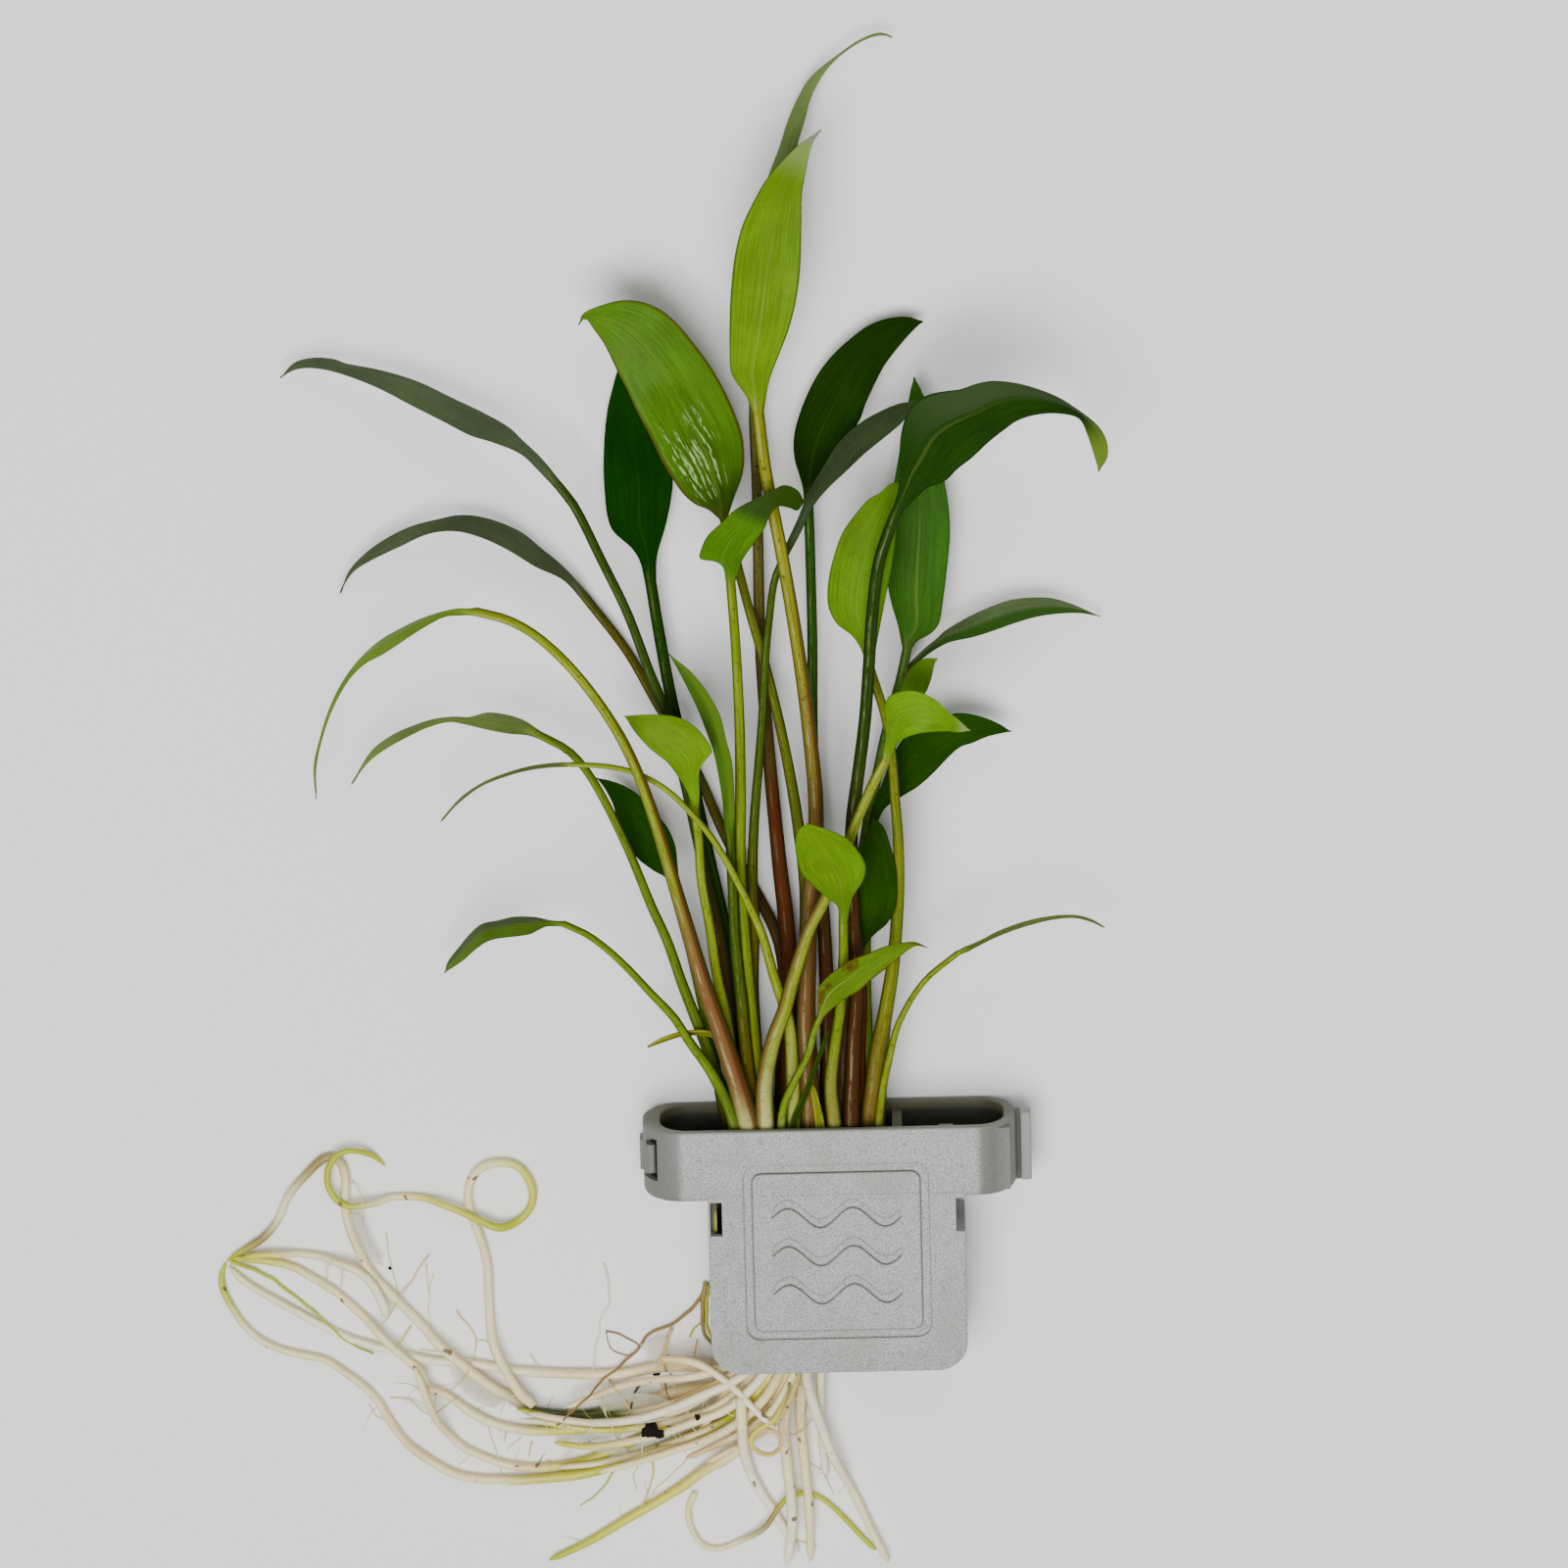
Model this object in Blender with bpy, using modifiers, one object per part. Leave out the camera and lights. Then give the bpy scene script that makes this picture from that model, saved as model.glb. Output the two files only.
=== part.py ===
"""Potted cryptocoryne, lying on its back.

The clump of narrow leaves grows from a short crown inside a grey plastic clip pot, and its roots
leave by the pot's open bottom. X runs to the right, Y towards the leaf tips and Z up from the
surface it lies on. The origin is the middle of the pot's flat back. Sizes are written from the
pot's mouth, so every piece hangs on an empty there.
"""
import math

import bmesh
import bpy
from mathutils import Matrix, Vector
from mathutils.kdtree import KDTree

MM = 0.001

# Pot sizes in millimetres
COLLAR_WIDTH = 68.7
COLLAR_MIDDLE = -1.25
COLLAR_HEIGHT = 13.8
POT_DEPTH = 17.0
POT_HEIGHT = 47.8
BODY_WIDTH = 47.4
BODY_MIDDLE = -0.2
WALL = 1.6
RIGHT_SIDE_WALL = 2.4
BODY_CORNER = 5.6
COLLAR_TURN = 7.0
LEFT_END_WALL = 3.3
RIGHT_END_WALL = 2.2
END_TURN = 4.8
GROOVE_SIDE = 34.2
GROOVE_WIDTH = 1.6
GROOVE_DEPTH = 0.35
GROOVE_TURN = 2.6
GROOVE_ACROSS = -0.2
GROOVE_MIDDLE = -23.9
WINDOW_WIDTH = 2.2
WINDOW_INSET = 0.4
NOTCH_WIDTH = 1.7
NOTCH_HEIGHT = 6.6
LATCH_REACH = 0.6
TONGUE_REACH = 2.9
LIP_WIDTH = 2.0
RIB_LEFT = 10.4
RIB_THICK = 1.8
RIB_RISE = 12.0

# How far a cutter or a joined block runs past the face it cuts or joins, in millimetres
OVERRUN = 1.0

# Crown sizes in millimetres
CROWN_WIDTH = 30.0
CROWN_TOP = -9.0
CROWN_BOTTOM = -19.0
CROWN_FLOOR = 2.2
CROWN_ROOF = 14.8
CROWN_MIDDLE = -6.0
CROWN_TURN = 1.2

# Gap between pieces that grow from or rest on one another
GAP = 0.3

# Routes are written as (across, along) in millimetres on the plane square to the line of sight of
# an eye that looks down past the leaf tips: its distance, the place on the table it looks at, its
# lean from the vertical and its turn clockwise from square with the pot in degrees, and how far
# inside the rim the routes are measured from
EYE_DISTANCE = 3000.0
EYE_AIM = Vector((-9.5, 61.8, 0.0))
EYE_LEAN = 18.7
EYE_TURN = 1.35
ROUTE_ORIGIN = Vector((0.0, -0.4, 0.0))

# Points drawn between two neighbours of a route
ROUTE_PARTS = 8

# Leaf and root colours
BRIGHT_GREEN = (0.19, 0.36, 0.02)
LIGHT_GREEN = (0.24, 0.40, 0.06)
MID_GREEN = (0.09, 0.24, 0.03)
DARK_GREEN = (0.02, 0.10, 0.02)
GREY_GREEN = (0.13, 0.18, 0.08)
STALK_YELLOW = (0.42, 0.42, 0.10)
ROOT_CREAM = (0.78, 0.70, 0.52)
CROWN_BROWN = (0.30, 0.22, 0.10)
POT_GREY = (0.38, 0.39, 0.39)

# Spacing of a stalk's sections in millimetres, and the shares of a blade's length at its sections
STALK_STEP = 15.0
BLADE_SECTIONS = (0.09, 0.2, 0.33, 0.47, 0.62, 0.77, 0.9, 1.0)

# Blade thickness at the midrib and at the margin, in millimetres
MIDRIB_THICK = 1.1
MARGIN_THICK = 0.45
TIP_HALF_WIDTH = 0.35


class Leaf:
    """One leaf: its stalk's route, its blade's midrib, four heights and the blade's form.

    heights are those at the mouth of the pot, the neck, the middle of the blade and the tip.
    wide is the blade's full width, broadest how far along it lies, roll how far the blade turns
    about its midrib and cup how far its halves rise, both in degrees.
    """

    def __init__(self, stalk, blade, heights, wide, roll=0.0, cup=14.0, broadest=0.42,
                 thick=(2.5, 1.7), colour=BRIGHT_GREEN):
        self.stalk = stalk
        self.blade = blade
        self.heights = heights
        self.wide = wide
        self.roll = roll
        self.cup = cup
        self.broadest = broadest
        self.thick = thick
        self.colour = colour


LEAVES = {
    # The tall bright leaf in the middle and the narrow one behind it
    "leaf_01": Leaf(
        [(-4.5, -4.5), (-5.4, 16.5), (-4.7, 38.5), (-3.6, 55.5), (-4.7, 70.5), (-7, 88.5),
         (-10, 107), (-13, 123)],
        [(-14.2, 134.5), (-14.4, 147), (-12.8, 161.5), (-11.2, 173), (-8.2, 181), (-2.7, 188.5)],
        (10.8, 18, 21, 17), wide=12.8, roll=-12, broadest=0.45),
    "leaf_02": Leaf(
        [(-8.5, -4.5), (-8.8, 31), (-10.4, 47), (-12.4, 69), (-13.9, 90), (-14.4, 116.5),
         (-15, 129)],
        [(-14.6, 144), (-13.5, 158), (-11.9, 171.5), (-9.2, 183), (-5.2, 193), (1.6, 202),
         (10, 206.5)],
        (5.2, 5, 5.5, 2.5), wide=7.5, roll=76, thick=(2.8, 1.9), colour=GREY_GREEN),
    # The broad glossy leaf at the upper left and the dark one behind it
    "leaf_03": Leaf(
        [(-6.5, -4.5), (-5.4, 38.5), (-7, 54.5), (-9.7, 70.5), (-13, 85), (-16, 96),
         (-18.9, 107.5)],
        [(-20.7, 113), (-23.2, 122), (-27.6, 133), (-33, 144.4), (-40, 153), (-47.4, 153.2)],
        (8, 8.2, 15, 12), wide=16.5, roll=-15, broadest=0.4),
    "leaf_04": Leaf(
        [(-14.6, -4.5), (-17.6, 14), (-20.3, 33), (-23, 46), (-26.6, 63.5), (-29.7, 76),
         (-32.2, 89.5)],
        [(-34.9, 104), (-36.4, 113.5), (-36.4, 124), (-38, 133.5), (-40.5, 142.5)],
        (3.1, 6, 3, 0.6), wide=12.6, roll=0, broadest=0.45, colour=DARK_GREEN),
    # The three long leaves that arch out to the left
    "leaf_05": Leaf(
        [(-17.3, -4.5), (-19.4, 14), (-21.2, 31), (-24.3, 46), (-28, 63.5), (-31.3, 76),
         (-34.2, 83.5), (-38.3, 95), (-43.4, 106), (-47.9, 115.5)],
        [(-51.5, 120.5), (-57.2, 126.3), (-66.2, 132.3), (-77, 137.4), (-88.7, 142.4),
         (-96, 143.2), (-102, 141)],
        (5.2, 13, 10.5, 3), wide=10, roll=-76, colour=GREY_GREEN),
    "leaf_06": Leaf(
        [(-10, -4.5), (-10, 16), (-10.8, 34), (-14.2, 40), (-20.2, 51.5), (-24.8, 62.5),
         (-29.3, 71.5), (-32.6, 77), (-38.3, 87.5), (-46, 98)],
        [(-48.2, 100.8), (-52.4, 104.5), (-57.6, 108), (-65.3, 110.4), (-72.5, 110.6), (-80.6, 108),
         (-87.4, 103.8), (-91, 98.5)],
        (3.1, 1.6, 7, 1.8), wide=10.5, roll=-86, colour=GREY_GREEN),
    "leaf_07": Leaf(
        [(-16, -4.5), (-19.8, 9.5), (-24.5, 24), (-29, 40), (-32.7, 53), (-36.4, 64),
         (-40.4, 72.5), (-47, 82.3), (-54, 89.7), (-60, 93.5)],
        [(-64.4, 95), (-72.5, 94.3), (-81.4, 89.8), (-87.8, 83.4), (-92.2, 75.4), (-94.8, 67),
         (-96, 59)],
        (13.3, 30, 24, 9), wide=9, roll=-92, thick=(3.2, 1.8), colour=LIGHT_GREEN),
    "leaf_08": Leaf(
        [(-18.9, -4.5), (-23.6, 10.5), (-28, 22.5), (-31, 31.5), (-33.8, 38), (-38.3, 49.5),
         (-44.3, 62), (-48.8, 68), (-54.4, 71.5)],
        [(-56.3, 72.4), (-62.6, 73.6), (-70, 73.8), (-77, 72.2), (-83.9, 68.3), (-88.9, 62.6)],
        (10, 15, 13, 5), wide=9, roll=-88, thick=(2.4, 1.6), colour=GREY_GREEN),
    "leaf_09": Leaf(
        [(-7.8, -4.5), (-7.9, 6.5), (-8.8, 16.5), (-11.2, 24), (-13.5, 32.5), (-16, 38.5),
         (-19.9, 46.5), (-23.2, 52), (-26.6, 56.2), (-31, 60.6), (-36.4, 63.8), (-42, 65.2),
         (-48.4, 65.6)],
        [(-51.7, 65.4), (-57.2, 64.5), (-63.5, 62), (-69, 58.5), (-72.5, 54.5)],
        (10.6, 21.5, 18, 10), wide=5, roll=-96, cup=8, thick=(2.8, 1.3), colour=LIGHT_GREEN),
    # Small leaves at the left
    "leaf_10": Leaf(
        [(-20, -4.5), (-23.6, 14.5), (-26, 26), (-28.6, 39.5)],
        [(-29.8, 44), (-32.8, 50), (-36.2, 55.5), (-39.8, 59.7), (-43.6, 62.7)],
        (5.4, 9, 8, 4), wide=9, roll=0, thick=(2.2, 1.5), colour=DARK_GREEN),
    "leaf_11": Leaf(
        [(-17.5, -4.5), (-20.2, 17), (-21.8, 24.5), (-23.2, 34.5), (-24.7, 43.5), (-25.2, 51.5)],
        [(-26.5, 58.5), (-27, 63.3), (-28.3, 68), (-32, 72.3), (-38.2, 75)],
        (8, 15, 19, 17), wide=9.2, roll=0, broadest=0.45, thick=(2.2, 1.5), colour=LIGHT_GREEN),
    "leaf_12": Leaf(
        [(-18.6, -4.5), (-19.6, -1), (-22.9, 6), (-27, 12), (-29.7, 16.5), (-33.3, 20.5),
         (-39.6, 27.5), (-45.2, 32.3)],
        [(-49.7, 34.6), (-54.9, 34.2), (-60.3, 33.6), (-65.3, 32), (-69, 29), (-71.6, 25)],
        (13.3, 22, 17, 8), wide=9, roll=-80, thick=(2.1, 1.4)),
    "leaf_13": Leaf(
        [(-14.8, -4.5), (-16.4, 9), (-17.3, 20), (-18.4, 31), (-19, 43.5)],
        [(-19.2, 54), (-19.4, 61.5), (-20.6, 69), (-22.8, 76), (-26.2, 82), (-30.6, 87)],
        (9.8, 14, 16, 14), wide=7, roll=48, thick=(2.6, 1.9), colour=DARK_GREEN),
    "leaf_14": Leaf(
        [(-12.6, -4.5), (-14.6, 8), (-16, 21.5), (-17, 35), (-17.6, 47), (-17.5, 58),
         (-17.6, 70.5), (-18, 81.5), (-18.5, 90.5)],
        [(-20.7, 102.5), (-20, 107), (-17, 111.5), (-12.2, 116), (-6.5, 115.5)],
        (8, 14.5, 22, 20), wide=9.5, roll=10, broadest=0.32, thick=(2.4, 1.6)),
    # The dark leaf and the grey-green one right of the middle
    "leaf_15": Leaf(
        [(-1.4, -4.5), (-1.4, 14), (-2, 31), (-3, 46), (-4, 61.5), (-4.3, 76), (-4.3, 90),
         (-4.7, 107)],
        [(-5.2, 117), (-3.4, 125.5), (0, 134), (4.4, 142.4), (9.7, 149.2), (16.2, 152.2)],
        (3.1, 6, 5.8, 3), wide=12.2, roll=36, colour=DARK_GREEN),
    "leaf_16": Leaf(
        [(-11.3, -4.5), (-14.2, 6), (-15.3, 20), (-15, 36), (-15.3, 43.5), (-15, 54),
         (-14.2, 65), (-13.5, 74.5), (-13, 85), (-12.2, 94), (-11.2, 101.5), (-9, 106)],
        [(-6.8, 111.3), (-3.6, 118), (-0.2, 123), (5, 128), (10.3, 132.3), (15.3, 135.5)],
        (5.2, 12.5, 15.5, 13), wide=9.5, roll=74, thick=(2.3, 1.4), colour=GREY_GREEN),
    # The large leaf at the right and those under it
    "leaf_17": Leaf(
        [(2.9, -4.5), (3.4, 12.5), (4, 23.5), (3.2, 36.5), (2.9, 52.5), (4.3, 65), (5.4, 74.5),
         (6.1, 85), (6.8, 96), (8, 105)],
        [(10.4, 111), (13.6, 119), (17.6, 126), (23.5, 131), (30.5, 134.6), (38.2, 135.2),
         (45.2, 132), (48.4, 128), (49, 122.5)],
        (13.3, 27, 30, 20), wide=15, roll=66, broadest=0.28, thick=(2.6, 2.2), colour=MID_GREEN),
    "leaf_18": Leaf(
        [(6.1, -4.5), (6.8, 2), (7.7, 10), (9.2, 18), (10.6, 27.5), (11.5, 40), (11.5, 50.5),
         (10.8, 60), (10.3, 67), (9.2, 74.5)],
        [(7.2, 85.5), (5.9, 92), (4.5, 99.5), (4.9, 107), (7.2, 114), (11.2, 120)],
        (10.6, 18, 20, 18), wide=12, roll=0, broadest=0.48,
        thick=(2.7, 1.7)),
    "leaf_19": Leaf(
        [(1.2, -4.5), (1.6, 6.5), (2.2, 18), (3.4, 35), (5.2, 50), (7.6, 63.5), (9.9, 74.5),
         (12, 82.5)],
        [(13.1, 87), (14.2, 93.5), (15.2, 101.5), (15.5, 110), (15.5, 119.5), (15.2, 130),
         (14.8, 140)],
        (5.2, 8, 7, 4), wide=10.8, roll=8, colour=MID_GREEN),
    "leaf_20": Leaf(
        [(4.7, -4.5), (5.2, 10), (5, 27), (5.2, 42.5), (6.3, 55.5), (8.1, 68), (10.6, 78)],
        [(16.6, 87.5), (22, 91), (29.2, 94), (38.2, 96), (48.4, 94)],
        (2.9, 3.2, 7.5, 1.5), wide=9.5, roll=88, thick=(2, 1.2), colour=GREY_GREEN),
    "leaf_21": Leaf(
        [(8.2, -4.5), (8.8, 8), (9.8, 20), (11, 40), (11.3, 50), (10.8, 60), (10.4, 67)],
        [(11, 73.5), (13, 78), (15.8, 82), (18.7, 86.5)],
        (5.2, 14.5, 17.5, 18), wide=6.5, roll=10, thick=(2, 1.2), colour=LIGHT_GREEN),
    "leaf_22": Leaf(
        [(-13, -4.5), (-13, 4), (-11.5, 12), (-9.4, 18), (-7.4, 25.5), (-4.7, 34), (-2.2, 39),
         (0.9, 46.5), (3.6, 54), (6.5, 61)],
        [(9.2, 66.5), (11.6, 71.8), (14.9, 74.6), (19, 74.8), (24.4, 73)],
        (13.2, 27, 33, 30), wide=9, roll=20, broadest=0.4, thick=(3.3, 1.8), colour=LIGHT_GREEN),
    "leaf_23": Leaf(
        [(6.6, -4.5), (5.8, 12), (5.6, 27), (6, 42.5)],
        [(7.6, 55), (11.2, 62.3), (16, 68), (21.4, 71.6), (26.5, 72.8), (32, 72)],
        (8, 8.5, 9.5, 5), wide=9.5, roll=-12, thick=(2.2, 1.5), colour=DARK_GREEN),
    # Short leaves at the front
    "leaf_24": Leaf(
        [(-0.2, -4.5), (-0.9, 3.5), (-0.2, 10.5), (0.9, 19), (1.4, 28)],
        [(1, 37.5), (0.5, 42.5), (-0.5, 47), (-2.7, 51), (-6.5, 53.5)],
        (13.3, 23, 31, 36), wide=11.5, roll=-8, broadest=0.5, thick=(2.3, 1.7)),
    "leaf_25": Leaf(
        [(4.1, -4.5), (4.5, 10), (5, 21.5)],
        [(5.6, 31), (6.3, 36.5), (7.2, 43.5), (7.6, 49), (7.2, 55.5)],
        (8, 14, 16, 14), wide=9.5, roll=10, broadest=0.5, thick=(2.2, 1.5), colour=DARK_GREEN),
    "leaf_26": Leaf(
        [(-10, -4.5), (-9.5, -0.5), (-7.7, 4), (-5.2, 9), (-3.6, 14)],
        [(-2.7, 19), (-1, 22), (2.7, 25), (7.9, 27.5), (13, 29.5), (17, 30)],
        (13.3, 23, 28, 29), wide=8, roll=60, thick=(2, 1.3), colour=MID_GREEN),
    "leaf_27": Leaf(
        [(7.9, -4.5), (8.6, 2.5), (9.7, 8), (11.6, 15.5), (16.2, 23.5), (22.4, 29)],
        [(27.4, 31.2), (32.8, 33.6), (38.2, 35), (43.6, 35.7), (49.3, 34)],
        (13.3, 17, 15, 8), wide=6, roll=92, thick=(2, 1.3), colour=LIGHT_GREEN),
}


class Shoot:
    """A stalk with no blade: its route, its heights at the mouth and the end, and its thickness."""

    def __init__(self, route, heights, thick):
        self.route = route
        self.heights = heights
        self.thick = thick


SHOOTS = {
    # A stalk whose blade was cut off, lying out to the left
    "stalk_stub": Shoot(
        [(-17.1, -4.5), (-18.4, 4.5), (-20, 10.5), (-22.5, 13.2), (-27.4, 13.5), (-31.5, 12.5),
         (-34.6, 10.8)],
        (10.4, 15), (1.4, 1.0)),
    # A rolled young leaf and a short sheath at the front
    "young_shoot": Shoot(
        [(-7.8, -4.5), (-5.4, 2), (-3.2, 8.5), (-1.3, 14)],
        (13.3, 18), (1.6, 0.8)),
    "sheath": Shoot(
        [(-2.9, -4.5), (-3.5, -0.5), (-4.3, 3.4)],
        (13.2, 13.2), (2.4, 1.0)),
}


class Root:
    """One root: its route on the table, its thickness at both ends and where it leaves the crown.

    A root with no place under the crown branches from another one.
    """

    def __init__(self, route, thick, crown=None):
        self.route = route
        self.thick = thick
        self.crown = crown


ROOTS = {
    # The sheaf that sweeps out to the left
    "root_01": Root(
        [(-18.5, -50), (-22, -51.5), (-27, -51), (-32.6, -51.3), (-38.5, -52.4), (-45.5, -52.6),
         (-58, -52), (-67, -50.5), (-74, -50), (-81, -48.3), (-85.3, -47), (-90, -45.4),
         (-94.7, -43), (-99, -40.5), (-104, -37.6), (-108.4, -34.8), (-111.5, -32)],
        (2.0, 1.2), crown=(-18, 3.8)),
    "root_02": Root(
        [(-16, -50), (-21, -53.5), (-27.5, -55.5), (-36.5, -58.3), (-45.5, -60.4),
         (-54.7, -60), (-59.8, -57), (-64.3, -53.6), (-69, -49.8), (-73.4, -45.8),
         (-77.6, -41.4), (-81.7, -37), (-85.3, -33), (-87.7, -28.3), (-89.5, -23.6),
         (-90.2, -19), (-90, -15), (-91, -11.5), (-93.5, -10.5), (-97.7, -14.4),
         (-100.6, -18.2), (-102.4, -22.6), (-105, -26), (-108.8, -28.2)],
        (2.2, 1.3), crown=(-15, 3.8)),
    "root_03": Root(
        [(-17, -50), (-21, -54), (-27.5, -57.4), (-36.5, -60.5), (-45.5, -63), (-51, -63.5),
         (-57, -63.5), (-62.5, -62.3), (-67, -60), (-71, -57), (-75, -54.5), (-76, -51.7),
         (-78, -49.8), (-81.7, -46.4), (-85, -43), (-88.2, -40), (-91.8, -36.7),
         (-95.6, -34.2), (-100, -31.7), (-104.8, -30.6), (-109.5, -30.4)],
        (2.0, 1.1), crown=(-18, 7.4)),
    "root_04": Root(
        [(-14.5, -50), (-18, -56.5), (-22, -59.3), (-29.3, -62.7), (-36.2, -65.2),
         (-45.5, -69.2), (-53.3, -70.7), (-59.8, -70.3), (-64.8, -68.6), (-69, -66.3),
         (-72.2, -62.3), (-74.3, -58), (-76, -53.2), (-77.2, -50)],
        (1.9, 1.2), crown=(-15, 7.4)),
    "root_05": Root(
        [(-12.5, -50), (-15.5, -57), (-20, -61.5), (-27.5, -65), (-36.5, -69), (-45.5, -71.5),
         (-53.3, -72.5), (-59, -73), (-65, -73), (-70, -72), (-74.3, -69.5), (-78.5, -66.3),
         (-81.7, -62), (-84, -58), (-86.4, -55.3), (-90, -52.4), (-93.6, -50), (-97.4, -49),
         (-101.5, -48), (-105, -46.4), (-108.4, -43.5), (-110.7, -40), (-112.4, -36.5),
         (-112.9, -34.4)],
        (2.1, 1.3), crown=(-12, 3.8)),
    # Side roots of that sheaf
    "root_06": Root(
        [(-82.5, -40.5), (-83.2, -38.2), (-85.3, -34.2), (-88.2, -31.7), (-91.8, -30.4),
         (-96.8, -29.4), (-101.5, -29), (-105.5, -29)],
        (1.5, 1.0)),
    "root_07": Root(
        [(-55.5, -58), (-58, -55.5), (-60.7, -51), (-63, -45.4), (-63.7, -37), (-63.9, -31.7),
         (-65.2, -26.4), (-66.8, -22), (-67.5, -17.3), (-66, -13.3), (-62.5, -11.6),
         (-58.3, -12.4), (-55.8, -16.3), (-56, -20), (-58.3, -22.8), (-61.6, -23.6),
         (-65.7, -22), (-69.8, -20), (-74.3, -18.6), (-80.8, -18.2), (-85.5, -19),
         (-89.5, -19.4), (-91.8, -18), (-93.2, -15.4), (-93.2, -12.4), (-91.8, -9.7),
         (-89, -8.6), (-85.9, -9.5), (-82.8, -12.2)],
        (1.7, 0.9)),
    # Roots that run down from the open bottom
    "root_08": Root(
        [(-9.5, -52), (-14, -59), (-16.8, -65), (-16.4, -69.5), (-14.2, -74.5),
         (-11.3, -79.2), (-8.6, -84.2), (-6.8, -87)],
        (1.7, 1.0), crown=(-8.6, 3.8)),
    "root_09": Root(
        [(-25.8, -75.5), (-27, -78.5), (-26.8, -81.7), (-24.7, -85.5), (-22, -86.5),
         (-18.7, -85.5), (-15.5, -83.6), (-12.8, -81.5), (-11, -78.7), (-8.6, -75.8),
         (-6.3, -75.4), (-4, -76), (-1.3, -77.7), (2, -81), (5.2, -84.6), (7.4, -86.8)],
        (1.0, 0.8)),
    "root_10": Root(
        [(-11, -52), (-13, -60), (-16.4, -65.7), (-22.5, -69.8), (-27, -73.5), (-32.6, -77.3),
         (-38.5, -80.8), (-44.5, -84.6), (-49, -87), (-52.6, -88.7)],
        (2.9, 1.1), crown=(-12, 8.2)),
    "root_11": Root(
        [(-9, -52), (-9.5, -60), (-9.3, -66), (-8.6, -72), (-8, -78.3), (-8.2, -84), (-9, -88.9)],
        (2.3, 1.3), crown=(-8.3, 7.4)),
    "root_12": Root(
        [(-6, -52), (-6.5, -60), (-6, -67), (-5.2, -74), (-4.8, -80), (-4.6, -88.9)],
        (2.2, 1.3), crown=(-5.6, 3.8)),
    "root_13": Root(
        [(-2.7, -52), (-2.8, -58), (-2.6, -64), (-2.2, -69), (-1.6, -72.5)],
        (2.0, 1.1), crown=(-2.4, 3.8)),
    "root_14": Root(
        [(-5.5, -52), (-3.6, -60), (-1.4, -66), (1.2, -71.5), (4.2, -77.5), (7, -83.5),
         (9.7, -88.9)],
        (2.1, 1.2), crown=(-5, 7.6)),
    # Short roots bunched just under the pot
    "root_15": Root(
        [(-16.5, -51), (-20, -56), (-22.5, -60), (-26, -66)],
        (1.8, 1.0), crown=(-15, 11.4)),
    "root_16": Root(
        [(-9.5, -51), (-12, -56), (-17, -61.5), (-23, -64.5)],
        (1.8, 1.0), crown=(-10, 12.2)),
}

# How closely the roots are drawn, how steeply one climbs over another and how far past the
# bottom of the pot it takes to come down to the table, in millimetres
ROOT_STEP = 5.2
ROOT_CLIMB = 0.55
ROOT_DESCENT = 26.0
ROOT_CLEARANCE = 0.55
ROOT_THICKEST = 3.0


def clear_scene():
    """Remove whatever the file starts with."""
    for item in list(bpy.data.objects):
        bpy.data.objects.remove(item, do_unlink=True)


def new_collection(name):
    """Add a collection to the scene."""
    collection = bpy.data.collections.new(name)
    bpy.context.scene.collection.children.link(collection)
    return collection


def new_material(name, colour, roughness):
    """Make a plain material of one colour."""
    material = bpy.data.materials.new(name)
    material.use_nodes = True
    shader = material.node_tree.nodes["Principled BSDF"]
    shader.inputs["Base Color"].default_value = (*colour, 1.0)
    shader.inputs["Roughness"].default_value = roughness
    shader.inputs["Metallic"].default_value = 0.0
    material.diffuse_color = (*colour, 1.0)
    return material


def add_object(name, mesh, collection, material=None):
    """Put a mesh in the scene as one named piece."""
    item = bpy.data.objects.new(name, mesh)
    collection.objects.link(item)
    if material:
        mesh.materials.append(material)
    return item


def seen(across, along, height):
    """Place a point of a route on its line of sight, at its height above the table."""
    lean = math.radians(EYE_LEAN)
    eye = EYE_AIM + EYE_DISTANCE * Vector((0.0, math.sin(lean), math.cos(lean)))
    reach = Vector((across, along, 0.0)) - EYE_AIM
    nearness = 1 - reach.y * math.sin(lean) / EYE_DISTANCE
    spot = (EYE_AIM + reach * nearness).lerp(eye, height / eye.z)
    return Matrix.Rotation(math.radians(-EYE_TURN), 3, "Z") @ spot + ROUTE_ORIGIN


def smooth_line(points, parts=ROUTE_PARTS):
    """Draw a smooth curve through the points, as a dense list of points."""
    line = []
    for i in range(len(points) - 1):
        before = points[max(i - 1, 0)]
        start = points[i]
        end = points[i + 1]
        after = points[min(i + 2, len(points) - 1)]
        span = (end - start).length
        lead = (end - before) / max((end - start).length + (start - before).length, 1e-6)
        tail = (after - start) / max((after - end).length + span, 1e-6)
        for k in range(parts):
            t = k / parts
            line.append(start * (2 * t ** 3 - 3 * t ** 2 + 1) + end * (3 * t ** 2 - 2 * t ** 3)
                        + lead * span * (t ** 3 - 2 * t ** 2 + t)
                        + tail * span * (t ** 3 - t ** 2))
    line.append(points[-1].copy())
    return line


def distances(line):
    """Measure how far along the line each of its points lies."""
    travelled = [0.0]
    for i in range(1, len(line)):
        travelled.append(travelled[-1] + (line[i] - line[i - 1]).length)
    return travelled


def point_at(line, travelled, distance):
    """Find the point that lies this far along the line."""
    for i in range(1, len(line)):
        if travelled[i] >= distance:
            span = max(travelled[i] - travelled[i - 1], 1e-9)
            return line[i - 1].lerp(line[i], (distance - travelled[i - 1]) / span)
    return line[-1].copy()


def mixed(a, b, t):
    """Blend two numbers."""
    return a + (b - a) * t


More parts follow.
